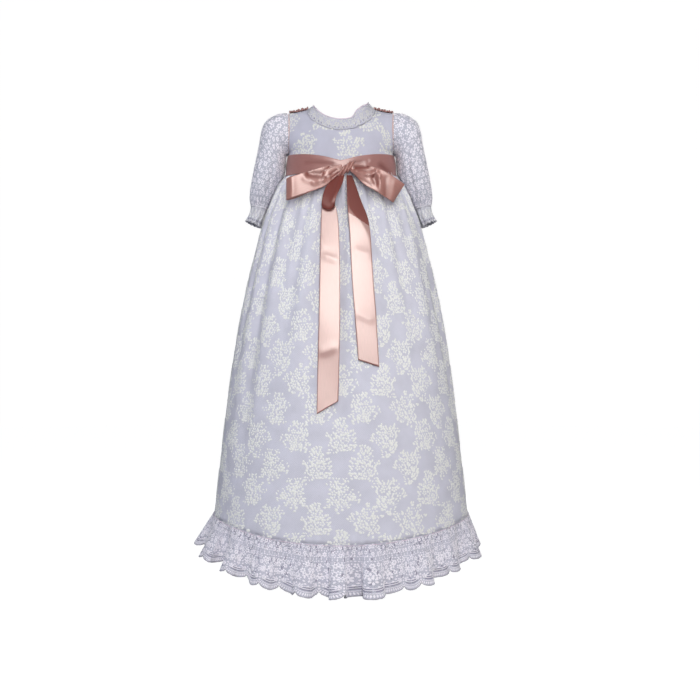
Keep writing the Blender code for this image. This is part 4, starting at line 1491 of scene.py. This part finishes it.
def line_folds(points, folds, front):
    """How far soft folds move a ribbon forwards at its points. front is 1 on its front layer."""
    move = np.zeros(points.shape[:2])
    x, z = points[..., 0], points[..., 2]
    for x1, z1, x2, z2, half, height in folds:
        long = max((x2 - x1) ** 2 + (z2 - z1) ** 2, 1e-6)
        t = np.clip(((x - x1) * (x2 - x1) + (z - z1) * (z2 - z1)) / long, 0.0, 1.0)
        far = np.hypot(x - x1 - t * (x2 - x1), z - z1 - t * (z2 - z1))
        move += height * np.exp(-((far / half) ** 2))
    return move * front


def loop_cloth(stations, folds, columns=150, rows=18, curl=1.5):
    """A bow's loop through its stations, its front layer folded where the table says."""
    table = [(float(n), *row) for n, row in enumerate(stations)]
    s = np.linspace(0.0, len(stations) - 1.0, columns + 1)
    x, y, z, half, slant = (read(table, n, s) for n in range(1, 6))
    w = np.linspace(1.0, -1.0, rows + 1)[:, None]
    lean = np.radians(slant)
    points = np.stack(np.broadcast_arrays(
        x - np.sin(lean) * half * w, y, z + np.cos(lean) * half * w,
    ), axis=-1)
    front = 1 - smooth_step(LOOP_TURN - 1.0, LOOP_TURN, s)[None, :]
    # Painted shade in the troughs of the loop's front layer.
    painted_shade = trough_shade(points, folds, front)
    points[..., 1] -= line_folds(points, folds, front) + curl * (1 - w**2) * (front - 0.5)
    return Cloth(points, run_along(points[rows // 2]), (1 - w) * RIBBON_WIDE / 2, painted_shade=painted_shade)


def swap_flat(piece):
    """Turns a ribbon's flat places so that its length runs down its cloth map."""
    layer = piece.data.uv_layers["cloth"]
    values = np.zeros(len(layer.data) * 2)
    layer.data.foreach_get("uv", values)
    values = values.reshape(-1, 2)[:, ::-1].copy()
    layer.data.foreach_set("uv", values.ravel())


def build_sash():
    """The ribbon round the waist, further out in front, where it runs into the knot."""
    angle = np.linspace(0.0, 360.0, 361)
    folded = np.minimum(angle, 360.0 - angle)
    top, bottom = read(SASH, 1, folded), read(SASH, 2, folded)
    w = np.linspace(0.0, 1.0, 21)[:, None]
    z = top + (bottom - top) * w
    out = FRAME_WALL + SASH_OUT + SASH_OUT_FRONT * (1 - smooth_step(0.0, 26.0, folded))
    out = out[None, :] + 0.6 * np.sin(math.pi * w)
    upper = section(BODICE, angle[None, :], np.maximum(z, WAIST_Z), out)
    lower = section(SKIRT, angle[None, :], np.minimum(z, WAIST_Z), out)
    points = np.where((z > WAIST_Z)[..., None], upper, lower)
    points[..., 2] = z
    front = (np.cos(np.radians(angle)) > 0)[None, :] * 1.0
    # Painted shade in the sash's troughs.
    painted_shade = trough_shade(points, SASH_FOLDS, front)
    points[..., 1] -= line_folds(points, SASH_FOLDS, front)
    run = angle / 360.0 * SASH_LONG
    cloth = Cloth(points, run, w * RIBBON_WIDE, closed=True, painted_shade=painted_shade)
    thickness = bpy.context.scene.gown_sizes.sash_wall
    band = sew("sash_ribbon", cloth, thickness, (finish_named("shaded_satin_sash"),))
    swap_flat(band)
    declare(["sash"])


def tail_cloth(stations, slant, folds, rows=18, per=14):
    """A ribbon tail from the knot down the skirt, and which of its faces show its wrong side,
    coloured darker as painted shade under the bow.

    Its end is cut on the slant, lower at the left edge where slant is positive, as on the left
    tail, and lower at the right edge on the right one.
    """
    last = len(stations) - 1
    table = [(float(n), *row) for n, row in enumerate(stations)]
    s = np.linspace(0.0, last, last * per + 1)[:, None]
    share = np.linspace(0.0, 1.0, rows + 1)[None, :]
    z, left, right, lift_left, lift_right, sag, crest = (
        read(table, n, s) for n in range(1, 8))
    run = np.maximum.accumulate(WAIST_Z - z)
    z = z - sag * (1 - (2 * share - 1) ** 2)
    lower = 1 - share if slant > 0 else share
    z = z - abs(slant) * lower * np.clip(s - last + 2, 0.0, 2.0) / 2
    x = left + (right - left) * share
    sloped = np.clip((share - crest) / (1 - crest), 0.0, 1.0)
    if slant < 0:
        sloped = (0.25 * sloped + sloped**2) / (0.25 + sloped)
    lift = lift_left + (lift_right - lift_left) * sloped + FRAME_WALL + 0.8
    lift = lift + 0.5 * np.sin(z / 23.0 + share * 2.0) * smooth_step(-220.0, -280.0, z)
    half, depth = read(SKIRT, 1, z), read(SKIRT, 2, z)
    points = np.stack([x, -depth * roundness(x / half) - lift, z], axis=-1)
    points[..., 1] -= line_folds(points, folds, 1.0)
    # Above the turn the faces take the darker wrong-side finish and the points half painted shade:
    # the shade under the bow.
    if slant > 0:
        turned = np.broadcast_to(s < TAIL_TURN, x.shape)
        painted_shade = np.broadcast_to(np.where(s < TAIL_TURN + 0.5, 0.5, 0.0), x.shape)
    else:
        height = z + TURN_LINE_FALL * (x - TURN_LINE_X)
        turned = height > TURN_LINE_Z
        painted_shade = 0.5 * (1 - smooth_step(-196.0, -232.0, height))
    return Cloth(points, share[0] * RIBBON_WIDE, run, painted_shade=painted_shade), turned[:-1, :-1]


def knot_cloth():
    """The pleated wrap of ribbon that makes the knot, round an axis that leans to the left."""
    turns = np.linspace(0.0, 2 * math.pi, 73)[None, :]
    w = np.linspace(-1.0, 1.0, 41)[:, None]
    half_long, half_deep, half_tall = KNOT_HALF
    belly = np.sqrt(np.clip(1 - (w * 0.72) ** 2, 0.0, 1.0))
    wound = w * 8.0 + 1.4 * np.sin(turns) + 0.5 * np.sin(2 * turns + 1.0)
    pleat = 0.19 * np.cos(wound) + 0.05 * np.sin(3 * turns + w * 4)
    radius = belly * (1 + pleat)
    along = w * half_long + 1.4 * np.sin(turns + 0.6)
    up = half_tall * radius * np.cos(turns)
    out = half_deep * radius * np.sin(turns)
    lean = math.radians(KNOT_LEAN)
    x, y, z = KNOT_MIDDLE
    points = np.stack([
        x + along * math.cos(lean) - up * math.sin(lean), y - out,
        z - along * math.sin(lean) + up * math.cos(lean),
    ], axis=-1)
    # Painted shade in the grooves between the knot's pleats.
    painted_shade = np.clip(-np.cos(wound), 0.0, 1.0) ** 2 * 0.9
    return Cloth(points, turns[0] / (2 * math.pi) * 68.0, (w + 1) * 18.0, closed=True,
                 other_hand=True, painted_shade=painted_shade)


def build_bow():
    """The bow's two loops, two tails and knot."""
    sizes = bpy.context.scene.gown_sizes
    bow = (finish_named("lit_satin_bow"), finish_named("shaded_satin_back"))
    loops = (
        ("left", LOOP_LEFT, LEFT_LOOP_FOLDS, 205.0),
        ("right", LOOP_RIGHT, RIGHT_LOOP_FOLDS, 200.0),
    )
    for name, table, folds, long in loops:
        loop = sew(f"bow_loop_{name}_ribbon", loop_cloth(table, folds), sizes.ribbon_wall, bow)
        swap_flat(loop)
        declare([f"bow_loop_{name}"])
    satin = (finish_named("satin"), finish_named("shaded_satin_back"))
    tails = (
        ("left", TAIL_LEFT, TAIL_LEFT_SLANT, TAIL_LEFT_FOLDS, 420.0),
        ("right", TAIL_RIGHT, TAIL_RIGHT_SLANT, TAIL_RIGHT_FOLDS, 340.0),
    )
    for name, table, slant, folds, long in tails:
        cloth, turned = tail_cloth(table, slant, folds)
        tail = sew(f"bow_tail_{name}_ribbon", cloth, sizes.ribbon_wall, satin,
                   turned)
        declare([f"bow_tail_{name}"])
    knot = sew("bow_knot_ribbon", knot_cloth(), sizes.sash_wall, bow)
    declare(["bow_knot"])


# The ruched ribbons' ends along the shoulder seams, and their cut size.
SHOULDER_RIBBON = (59.5, 94.2)
SHOULDER_LONG = 62.0


def build_shoulder_ribbons():
    """A ruched ribbon over each shoulder seam."""
    thickness = bpy.context.scene.gown_sizes.ribbon_wall
    first, last = SHOULDER_RIBBON
    for name, side in (("left", -1), ("right", 1)):
        w = np.linspace(-1.0, 1.0, 23)[:, None]
        t = np.linspace(0.0, 1.0, 121)[None, :]
        x = side * (first + (last - first) * t)
        ruche = np.sin(t * 2 * math.pi * 7 + 1.6 * np.sin(3 * w) + 1.5 * np.sin(9 * t) + side)
        swell = np.sin(t * 2 * math.pi * 4 + w * 2.5)
        arch = 3.0 * (1 - w**2) ** 0.7 * (0.9 + 0.34 * ruche + 0.3 * swell)
        drop = 2.2 * w**2 + 0.5 * np.sin(t * 2 * math.pi * 9 + 0.8) * np.abs(w) ** 3
        z = shoulder_line(x) - np.maximum(drop, 0.02)
        lift = FRAME_WALL + 1.5 + arch
        points = np.where(
            (w < 0)[..., None], above_bodice(x, z, 1, lift), above_bodice(x, z, -1, lift)
        )
        cloth = Cloth(points, t[0] * SHOULDER_LONG, (w + 1) * RIBBON_WIDE / 2,
                      other_hand=side < 0)
        strip = sew(f"shoulder_ribbon_{name}_strip", cloth, thickness,
                    (finish_named("shaded_satin_sash"),))
        swap_flat(strip)
        declare([f"shoulder_ribbon_{name}"])


def model_button(across, thickness):
    """One domed button with a rolled rim, its face to the back."""
    bpy.ops.object.select_all(action="DESELECT")
    bpy.ops.mesh.primitive_cylinder_add(
        vertices=40, radius=across / 2, depth=thickness, location=(0.0, 0.0, 0.0),
        rotation=(math.radians(-90.0), 0.0, 0.0),
    )
    button = bpy.context.object
    bpy.ops.object.transform_apply(location=False, rotation=True, scale=False)
    bpy.ops.object.mode_set(mode="EDIT")
    bpy.ops.mesh.select_all(action="DESELECT")
    bpy.ops.object.mode_set(mode="OBJECT")
    outer = max(button.data.polygons, key=lambda face: face.center.y)
    outer.select = True
    bpy.ops.object.mode_set(mode="EDIT")
    bpy.ops.mesh.inset(thickness=0.7 * MM)
    bpy.ops.transform.translate(value=(0.0, -0.5 * MM, 0.0))
    bpy.ops.mesh.inset(thickness=0.5 * MM)
    for rise in (0.35, 0.3, 0.2):
        bpy.ops.mesh.inset(thickness=0.8 * MM)
        bpy.ops.transform.translate(value=(0.0, rise * MM, 0.0))
    bpy.ops.object.mode_set(mode="OBJECT")
    edge = button.modifiers.new("edge", "BEVEL")
    edge.width, edge.segments, edge.limit_method = 0.35 * MM, 3, "ANGLE"
    bpy.ops.object.modifier_apply(modifier="edge")
    bpy.ops.object.shade_smooth_by_angle(angle=math.radians(50.0))
    return button


def build_buttons():
    """Pearl buttons down the back opening, modelled once and copied."""
    sizes = bpy.context.scene.gown_sizes
    first = model_button(sizes.button_across, sizes.button_thickness)
    buttons = [first]
    for _ in range(2):
        copy = bpy.data.objects.new("button", first.data.copy())
        bpy.context.scene.collection.objects.link(copy)
        buttons.append(copy)
    for number, button in enumerate(buttons, 1):
        low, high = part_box(f"button_{number}")
        button.data.transform(Matrix.Translation((Vector(low) + Vector(high)) / 2))
        button.name = f"pearl_button_{number}"
        button.data.materials.clear()
        button.data.materials.append(finish_named("pearl"))
        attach(button, "root")
        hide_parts(f"button_{number}")


# Stage

CAMERA_DISTANCE = 2.0
CAMERA_Z = -0.453
FRAME_WIDE = 1.295
SENSOR = 36.0
PHOTO_WIDE = 700.0
GOWN_LEFT_OF_MIDDLE = 9.0
FLOOR_Z = -1.02


def plain_finish(name, colour, glow):
    """Matt white paper with its own light, so that the surroundings stay white."""
    finish, _, shader = new_finish(name, Roughness=0.9)
    shader.inputs["Base Color"].default_value = (*colour, 1.0)
    shader.inputs["Emission Color"].default_value = (1.0, 1.0, 1.0, 1.0)
    shader.inputs["Emission Strength"].default_value = glow
    return finish


def add_light(name, place, aim, size, power, colour, gleam=False):
    """A soft box, wide by tall, that looks at a point. Only a gleaming one shows in gloss."""
    data = bpy.data.lights.new(name, "AREA")
    data.shape = "RECTANGLE"
    data.size, data.size_y = size
    data.energy, data.color = power, colour
    light = bpy.data.objects.new(name, data)
    light.visible_glossy = gleam
    light.location = place
    light.rotation_euler = (Vector(aim) - Vector(place)).to_track_quat("-Z", "Y").to_euler()
    bpy.context.scene.collection.objects.link(light)
    return light


def build_stage():
    """The floor and backdrop, the world, the lights and the camera."""
    scene = bpy.context.scene
    bpy.ops.object.select_all(action="DESELECT")
    bpy.ops.mesh.primitive_circle_add(
        vertices=64, radius=7.0, fill_type="NGON", location=(0.0, 0.0, FLOOR_Z)
    )
    floor = bpy.context.object
    floor.name = "floor"
    floor.data.materials.append(plain_finish("paper_floor", (0.2, 0.2, 0.2), 0.95))
    bpy.ops.object.select_all(action="DESELECT")
    bpy.ops.mesh.primitive_uv_sphere_add(segments=48, ring_count=24, radius=6.5)
    dome = bpy.context.object
    dome.name = "backdrop"
    dome.data.materials.append(plain_finish("paper_backdrop", (0.0, 0.0, 0.0), 1.0))
    for paper in (floor, dome):
        paper.visible_diffuse = paper.visible_glossy = paper.visible_transmission = False
        paper.visible_shadow = False
    world = bpy.data.worlds.new("studio")
    world.use_nodes = True
    world.node_tree.nodes["Background"].inputs[0].default_value = (0.88, 0.92, 1.0, 1.0)
    world.node_tree.nodes["Background"].inputs[1].default_value = 0.20
    scene.world = world
    aim = (0.0, -0.05, -0.42)
    add_light("key", (0.2, -2.4, 0.15), aim, (0.9, 1.9), 35.0, (1.0, 0.99, 0.97))
    add_light("top", (0.15, -1.75, 1.65), aim, (1.0, 1.1), 15.5, (1.0, 1.0, 1.0))
    add_light("side", (2.2, -1.1, 0.0), aim, (1.2, 1.8), 11.5, (1.0, 0.97, 0.93))
    add_light("fill", (-2.2, -1.1, -0.1), aim, (1.2, 1.8), 14.5, (0.84, 0.9, 1.0))
    add_light("back", (0.0, 2.3, 0.2), aim, (1.4, 1.8), 15.0, (0.95, 0.97, 1.0))
    gleam = add_light("gleam", (0.1, -2.35, 0.75), (0.0, -0.1, -0.35), (0.55, 1.7), 84.0,
                      (1.0, 0.985, 0.965), True)
    gleam.visible_diffuse = False
    camera_data = bpy.data.cameras.new("camera")
    camera_data.sensor_width = SENSOR
    camera_data.lens = SENSOR * CAMERA_DISTANCE / FRAME_WIDE
    camera_data.shift_x = GOWN_LEFT_OF_MIDDLE / PHOTO_WIDE
    camera = bpy.data.objects.new("camera", camera_data)
    camera.location = (0.0, -CAMERA_DISTANCE, CAMERA_Z)
    camera.rotation_euler = (math.radians(90.0), 0.0, 0.0)
    scene.collection.objects.link(camera)
    scene.camera = camera
    scene.view_settings.view_transform = "Standard"
    scene.view_settings.look = "None"


# Add-on

class GownSizes(bpy.types.PropertyGroup):
    """Thicknesses and pitches of the gown's cloths, threads and buttons."""

    lined_wall: FloatProperty(
        name="Lined lace", description="Thickness of the lace and its lining together",
        unit="LENGTH", default=0.7 * MM, min=0.3 * MM, max=1.1 * MM,
    )
    edging_wall: FloatProperty(
        name="Edging lace", description="Thickness of the hem lace and the collar",
        unit="LENGTH", default=0.5 * MM, min=0.2 * MM, max=1.0 * MM,
    )
    sheer_wall: FloatProperty(
        name="Sheer lace", description="Thickness of the sleeves and the cuffs",
        unit="LENGTH", default=0.45 * MM, min=0.2 * MM, max=1.0 * MM,
    )
    sash_wall: FloatProperty(
        name="Sash ribbon", description="Thickness of the ribbon of the sash and the knot",
        unit="LENGTH", default=0.6 * MM, min=0.2 * MM, max=1.0 * MM,
    )
    ribbon_wall: FloatProperty(
        name="Bow ribbon", description="Thickness of the ribbon of loops, tails and shoulders",
        unit="LENGTH", default=0.5 * MM, min=0.2 * MM, max=1.0 * MM,
    )
    net_pitch: FloatProperty(
        name="Net", description="Pitch of the net's holes in bodice, skirt and sleeves",
        unit="LENGTH", default=2.2 * MM, min=1.0 * MM, max=5.0 * MM,
    )
    edging_pitch: FloatProperty(
        name="Edging net", description="Pitch of the net's holes in the edging lace",
        unit="LENGTH", default=2.0 * MM, min=1.0 * MM, max=5.0 * MM,
    )
    skirt_relief: FloatProperty(
        name="Skirt relief", description="Height of the embroidery of the skirt and hem lace",
        unit="LENGTH", default=0.8 * MM, min=0.1 * MM, max=1.5 * MM,
    )
    bodice_relief: FloatProperty(
        name="Bodice relief", description="Height of the bodice's embroidery",
        unit="LENGTH", default=0.6 * MM, min=0.1 * MM, max=1.5 * MM,
    )
    sleeve_relief: FloatProperty(
        name="Sleeve relief", description="Height of the sleeves' embroidery",
        unit="LENGTH", default=0.7 * MM, min=0.1 * MM, max=1.5 * MM,
    )
    cuff_relief: FloatProperty(
        name="Cuff relief", description="Height of the cuffs' embroidery",
        unit="LENGTH", default=0.45 * MM, min=0.1 * MM, max=1.5 * MM,
    )
    collar_relief: FloatProperty(
        name="Collar relief", description="Height of the collar's embroidery",
        unit="LENGTH", default=0.4 * MM, min=0.1 * MM, max=1.5 * MM,
    )
    hem_cord: FloatProperty(
        name="Hem cord", description="Radius of the cord along the hem lace's scallops",
        unit="LENGTH", default=1.0 * MM, min=0.3 * MM, max=2.0 * MM,
    )
    neck_piping: FloatProperty(
        name="Neck piping", description="Radius of the piping along the neckline",
        unit="LENGTH", default=1.0 * MM, min=0.3 * MM, max=2.0 * MM,
    )
    button_across: FloatProperty(
        name="Button", description="Width of a button", unit="LENGTH", default=9.0 * MM,
        min=7.0 * MM, max=11.0 * MM,
    )
    button_thickness: FloatProperty(
        name="Button thickness", description="Thickness of a button at its rim",
        unit="LENGTH", default=3.0 * MM, min=2.5 * MM, max=4.0 * MM,
    )


class GownColours(bpy.types.PropertyGroup):
    """Colours of the gown's cloths, threads and ribbon."""

    lining: FloatVectorProperty(
        name="Lining", description="Lavender lining under the lace", subtype="COLOR",
        default=linear("#C5C4D3"), min=0.0, max=1.0,
    )
    net: FloatVectorProperty(
        name="Net", description="Thread of the lace ground", subtype="COLOR",
        default=linear("#D3D2DC"), min=0.0, max=1.0,
    )
    sheer: FloatVectorProperty(
        name="Sheer net", description="Shaded holes of the unlined sleeves", subtype="COLOR",
        default=linear("#A9AABC"), min=0.0, max=1.0,
    )
    edging_ground: FloatVectorProperty(
        name="Edging ground", description="Shaded holes of the edging lace", subtype="COLOR",
        default=linear("#ABA6B9"), min=0.0, max=1.0,
    )
    edging_net: FloatVectorProperty(
        name="Edging net", description="Net threads of the edging lace", subtype="COLOR",
        default=linear("#C4C4D2"), min=0.0, max=1.0,
    )
    gap: FloatVectorProperty(
        name="Open work", description="Shade seen through the open work", subtype="COLOR",
        default=linear("#77778A"), min=0.0, max=1.0,
    )
    flower: FloatVectorProperty(
        name="Flowers", description="Embroidery of the skirt and the cuffs", subtype="COLOR",
        default=linear("#E7E7E5"), min=0.0, max=1.0,
    )
    bodice_flower: FloatVectorProperty(
        name="Bodice flowers", description="Embroidered sprigs of the bodice", subtype="COLOR",
        default=linear("#D9D9D4"), min=0.0, max=1.0,
    )
    collar: FloatVectorProperty(
        name="Collar flowers", description="Embroidery of the collar, and the cuffs' ground",
        subtype="COLOR",
        default=linear("#CBCAC8"), min=0.0, max=1.0,
    )
    edging: FloatVectorProperty(
        name="Edging flowers", description="Embroidery of the sleeves and the hem lace",
        subtype="COLOR", default=linear("#EFEBF3"), min=0.0, max=1.0,
    )
    # The cord's grey is partly painted shadow, a thin dark line along the scallops and rims.
    cord: FloatVectorProperty(
        name="Cord", description="Cord along the scallops", subtype="COLOR",
        default=linear("#A9A7B1"), min=0.0, max=1.0,
    )
    seam: FloatVectorProperty(
        name="Seams", description="Narrow tape in the armhole seams", subtype="COLOR",
        default=linear("#CFA696"), min=0.0, max=1.0,
    )
    # Painted light: a lighter copy of the ribbon's colour, for the light on the bow's bulging loops
    # and knot.
    bow: FloatVectorProperty(
        name="Bow ribbon", description="Dyed satin of the bow's loops and knot",
        subtype="COLOR", default=linear("#A8736A"), min=0.0, max=1.0,
    )
    # Painted shade: a darker copy of the ribbon's colour, for the shade the sash lies in; the
    # shoulder ribbons take it too.
    sash: FloatVectorProperty(
        name="Sash ribbon", description="Dyed satin of the sash and the shoulder ribbons",
        subtype="COLOR", default=linear("#9A6964"), min=0.0, max=1.0,
    )
    piping: FloatVectorProperty(
        name="Piping", description="Pale piping of the neckline and the hem seam",
        subtype="COLOR",
        default=linear("#DCCAD8"), min=0.0, max=1.0,
    )
    satin: FloatVectorProperty(
        name="Tail ribbon", description="Dyed satin of the tails' face side", subtype="COLOR",
        default=linear("#9C655E"), min=0.0, max=1.0,
    )
    # Painted shade: darker than the tails' face colour, for the shade under the bow as well as the
    # dull wrong side.
    shaded_satin_back: FloatVectorProperty(
        name="Satin back", description="Dull wrong side of the ribbon", subtype="COLOR",
        default=linear("#84423A"), min=0.0, max=1.0,
    )
    bodice: FloatVectorProperty(
        name="Bodice lining", description="Lining with no petticoat behind it", subtype="COLOR",
        default=linear("#B1B0C2"), min=0.0, max=1.0,
    )
    pearl: FloatVectorProperty(
        name="Pearl", description="Buttons", subtype="COLOR",
        default=linear("#E9E4DF"), min=0.0, max=1.0,
    )


class GOWN_OT_stage(bpy.types.Operator):
    """Sets the floor, backdrop, lights and camera"""

    bl_idname = "gown.stage"
    bl_label = "Stage"

    def execute(self, context):
        build_stage()
        return {"FINISHED"}


class GOWN_OT_bodice(bpy.types.Operator):
    """Makes the bodice's front and back panels"""

    bl_idname = "gown.bodice"
    bl_label = "Bodice"

    def execute(self, context):
        build_bodice()
        return {"FINISHED"}


class GOWN_OT_skirt(bpy.types.Operator):
    """Makes the skirt's front and back"""

    bl_idname = "gown.skirt"
    bl_label = "Skirt"

    def execute(self, context):
        build_skirt()
        return {"FINISHED"}


class GOWN_OT_hem_lace(bpy.types.Operator):
    """Makes the gathered lace at the hem"""

    bl_idname = "gown.hem_lace"
    bl_label = "Hem Lace"

    def execute(self, context):
        build_hem_lace()
        return {"FINISHED"}


class GOWN_OT_sleeves(bpy.types.Operator):
    """Makes both sleeves"""

    bl_idname = "gown.sleeves"
    bl_label = "Sleeves"

    def execute(self, context):
        build_sleeves()
        return {"FINISHED"}


class GOWN_OT_cuffs(bpy.types.Operator):
    """Makes both cuff frills"""

    bl_idname = "gown.cuffs"
    bl_label = "Cuffs"

    def execute(self, context):
        build_cuffs()
        return {"FINISHED"}


class GOWN_OT_collar(bpy.types.Operator):
    """Makes the collar"""

    bl_idname = "gown.collar"
    bl_label = "Collar"

    def execute(self, context):
        build_collar()
        return {"FINISHED"}


class GOWN_OT_sash(bpy.types.Operator):
    """Makes the sash"""

    bl_idname = "gown.sash"
    bl_label = "Sash"

    def execute(self, context):
        build_sash()
        return {"FINISHED"}


class GOWN_OT_bow(bpy.types.Operator):
    """Makes the bow's loops, tails and knot"""

    bl_idname = "gown.bow"
    bl_label = "Bow"

    def execute(self, context):
        build_bow()
        return {"FINISHED"}


class GOWN_OT_shoulder_ribbons(bpy.types.Operator):
    """Makes the ruched ribbons on the shoulders"""

    bl_idname = "gown.shoulder_ribbons"
    bl_label = "Shoulder Ribbons"

    def execute(self, context):
        build_shoulder_ribbons()
        return {"FINISHED"}


class GOWN_OT_buttons(bpy.types.Operator):
    """Makes the buttons on the back"""

    bl_idname = "gown.buttons"
    bl_label = "Buttons"

    def execute(self, context):
        build_buttons()
        return {"FINISHED"}


STEPS = (
    GOWN_OT_stage,
    GOWN_OT_bodice,
    GOWN_OT_skirt,
    GOWN_OT_hem_lace,
    GOWN_OT_sleeves,
    GOWN_OT_cuffs,
    GOWN_OT_collar,
    GOWN_OT_sash,
    GOWN_OT_bow,
    GOWN_OT_shoulder_ribbons,
    GOWN_OT_buttons,
)


class GOWN_PT_panel(bpy.types.Panel):
    """Lists the gown's pieces, sizes and colours."""

    bl_label = "Lace Gown"
    bl_space_type = "VIEW_3D"
    bl_region_type = "UI"
    bl_category = "Gown"

    def draw(self, context):
        for step in STEPS:
            self.layout.operator(step.bl_idname)
        for name in GownSizes.__annotations__:
            self.layout.prop(context.scene.gown_sizes, name)
        for name in GownColours.__annotations__:
            self.layout.prop(context.scene.gown_colours, name)


CLASSES = (GownSizes, GownColours, *STEPS, GOWN_PT_panel)


def register():
    """Registers the classes and gives the scene its sizes and colours."""
    for kind in CLASSES:
        bpy.utils.register_class(kind)
    bpy.types.Scene.gown_sizes = PointerProperty(type=GownSizes)
    bpy.types.Scene.gown_colours = PointerProperty(type=GownColours)


def unregister():
    """Takes the properties and classes away again."""
    del bpy.types.Scene.gown_colours
    del bpy.types.Scene.gown_sizes
    for kind in reversed(CLASSES):
        bpy.utils.unregister_class(kind)


def main():
    """Makes the stage and every piece in order."""
    register()
    bpy.ops.gown.stage()
    bpy.ops.gown.bodice()
    bpy.ops.gown.skirt()
    bpy.ops.gown.hem_lace()
    bpy.ops.gown.sleeves()
    bpy.ops.gown.cuffs()
    bpy.ops.gown.collar()
    bpy.ops.gown.sash()
    bpy.ops.gown.bow()
    bpy.ops.gown.shoulder_ribbons()
    bpy.ops.gown.buttons()


if __name__ == "__main__":
    main()
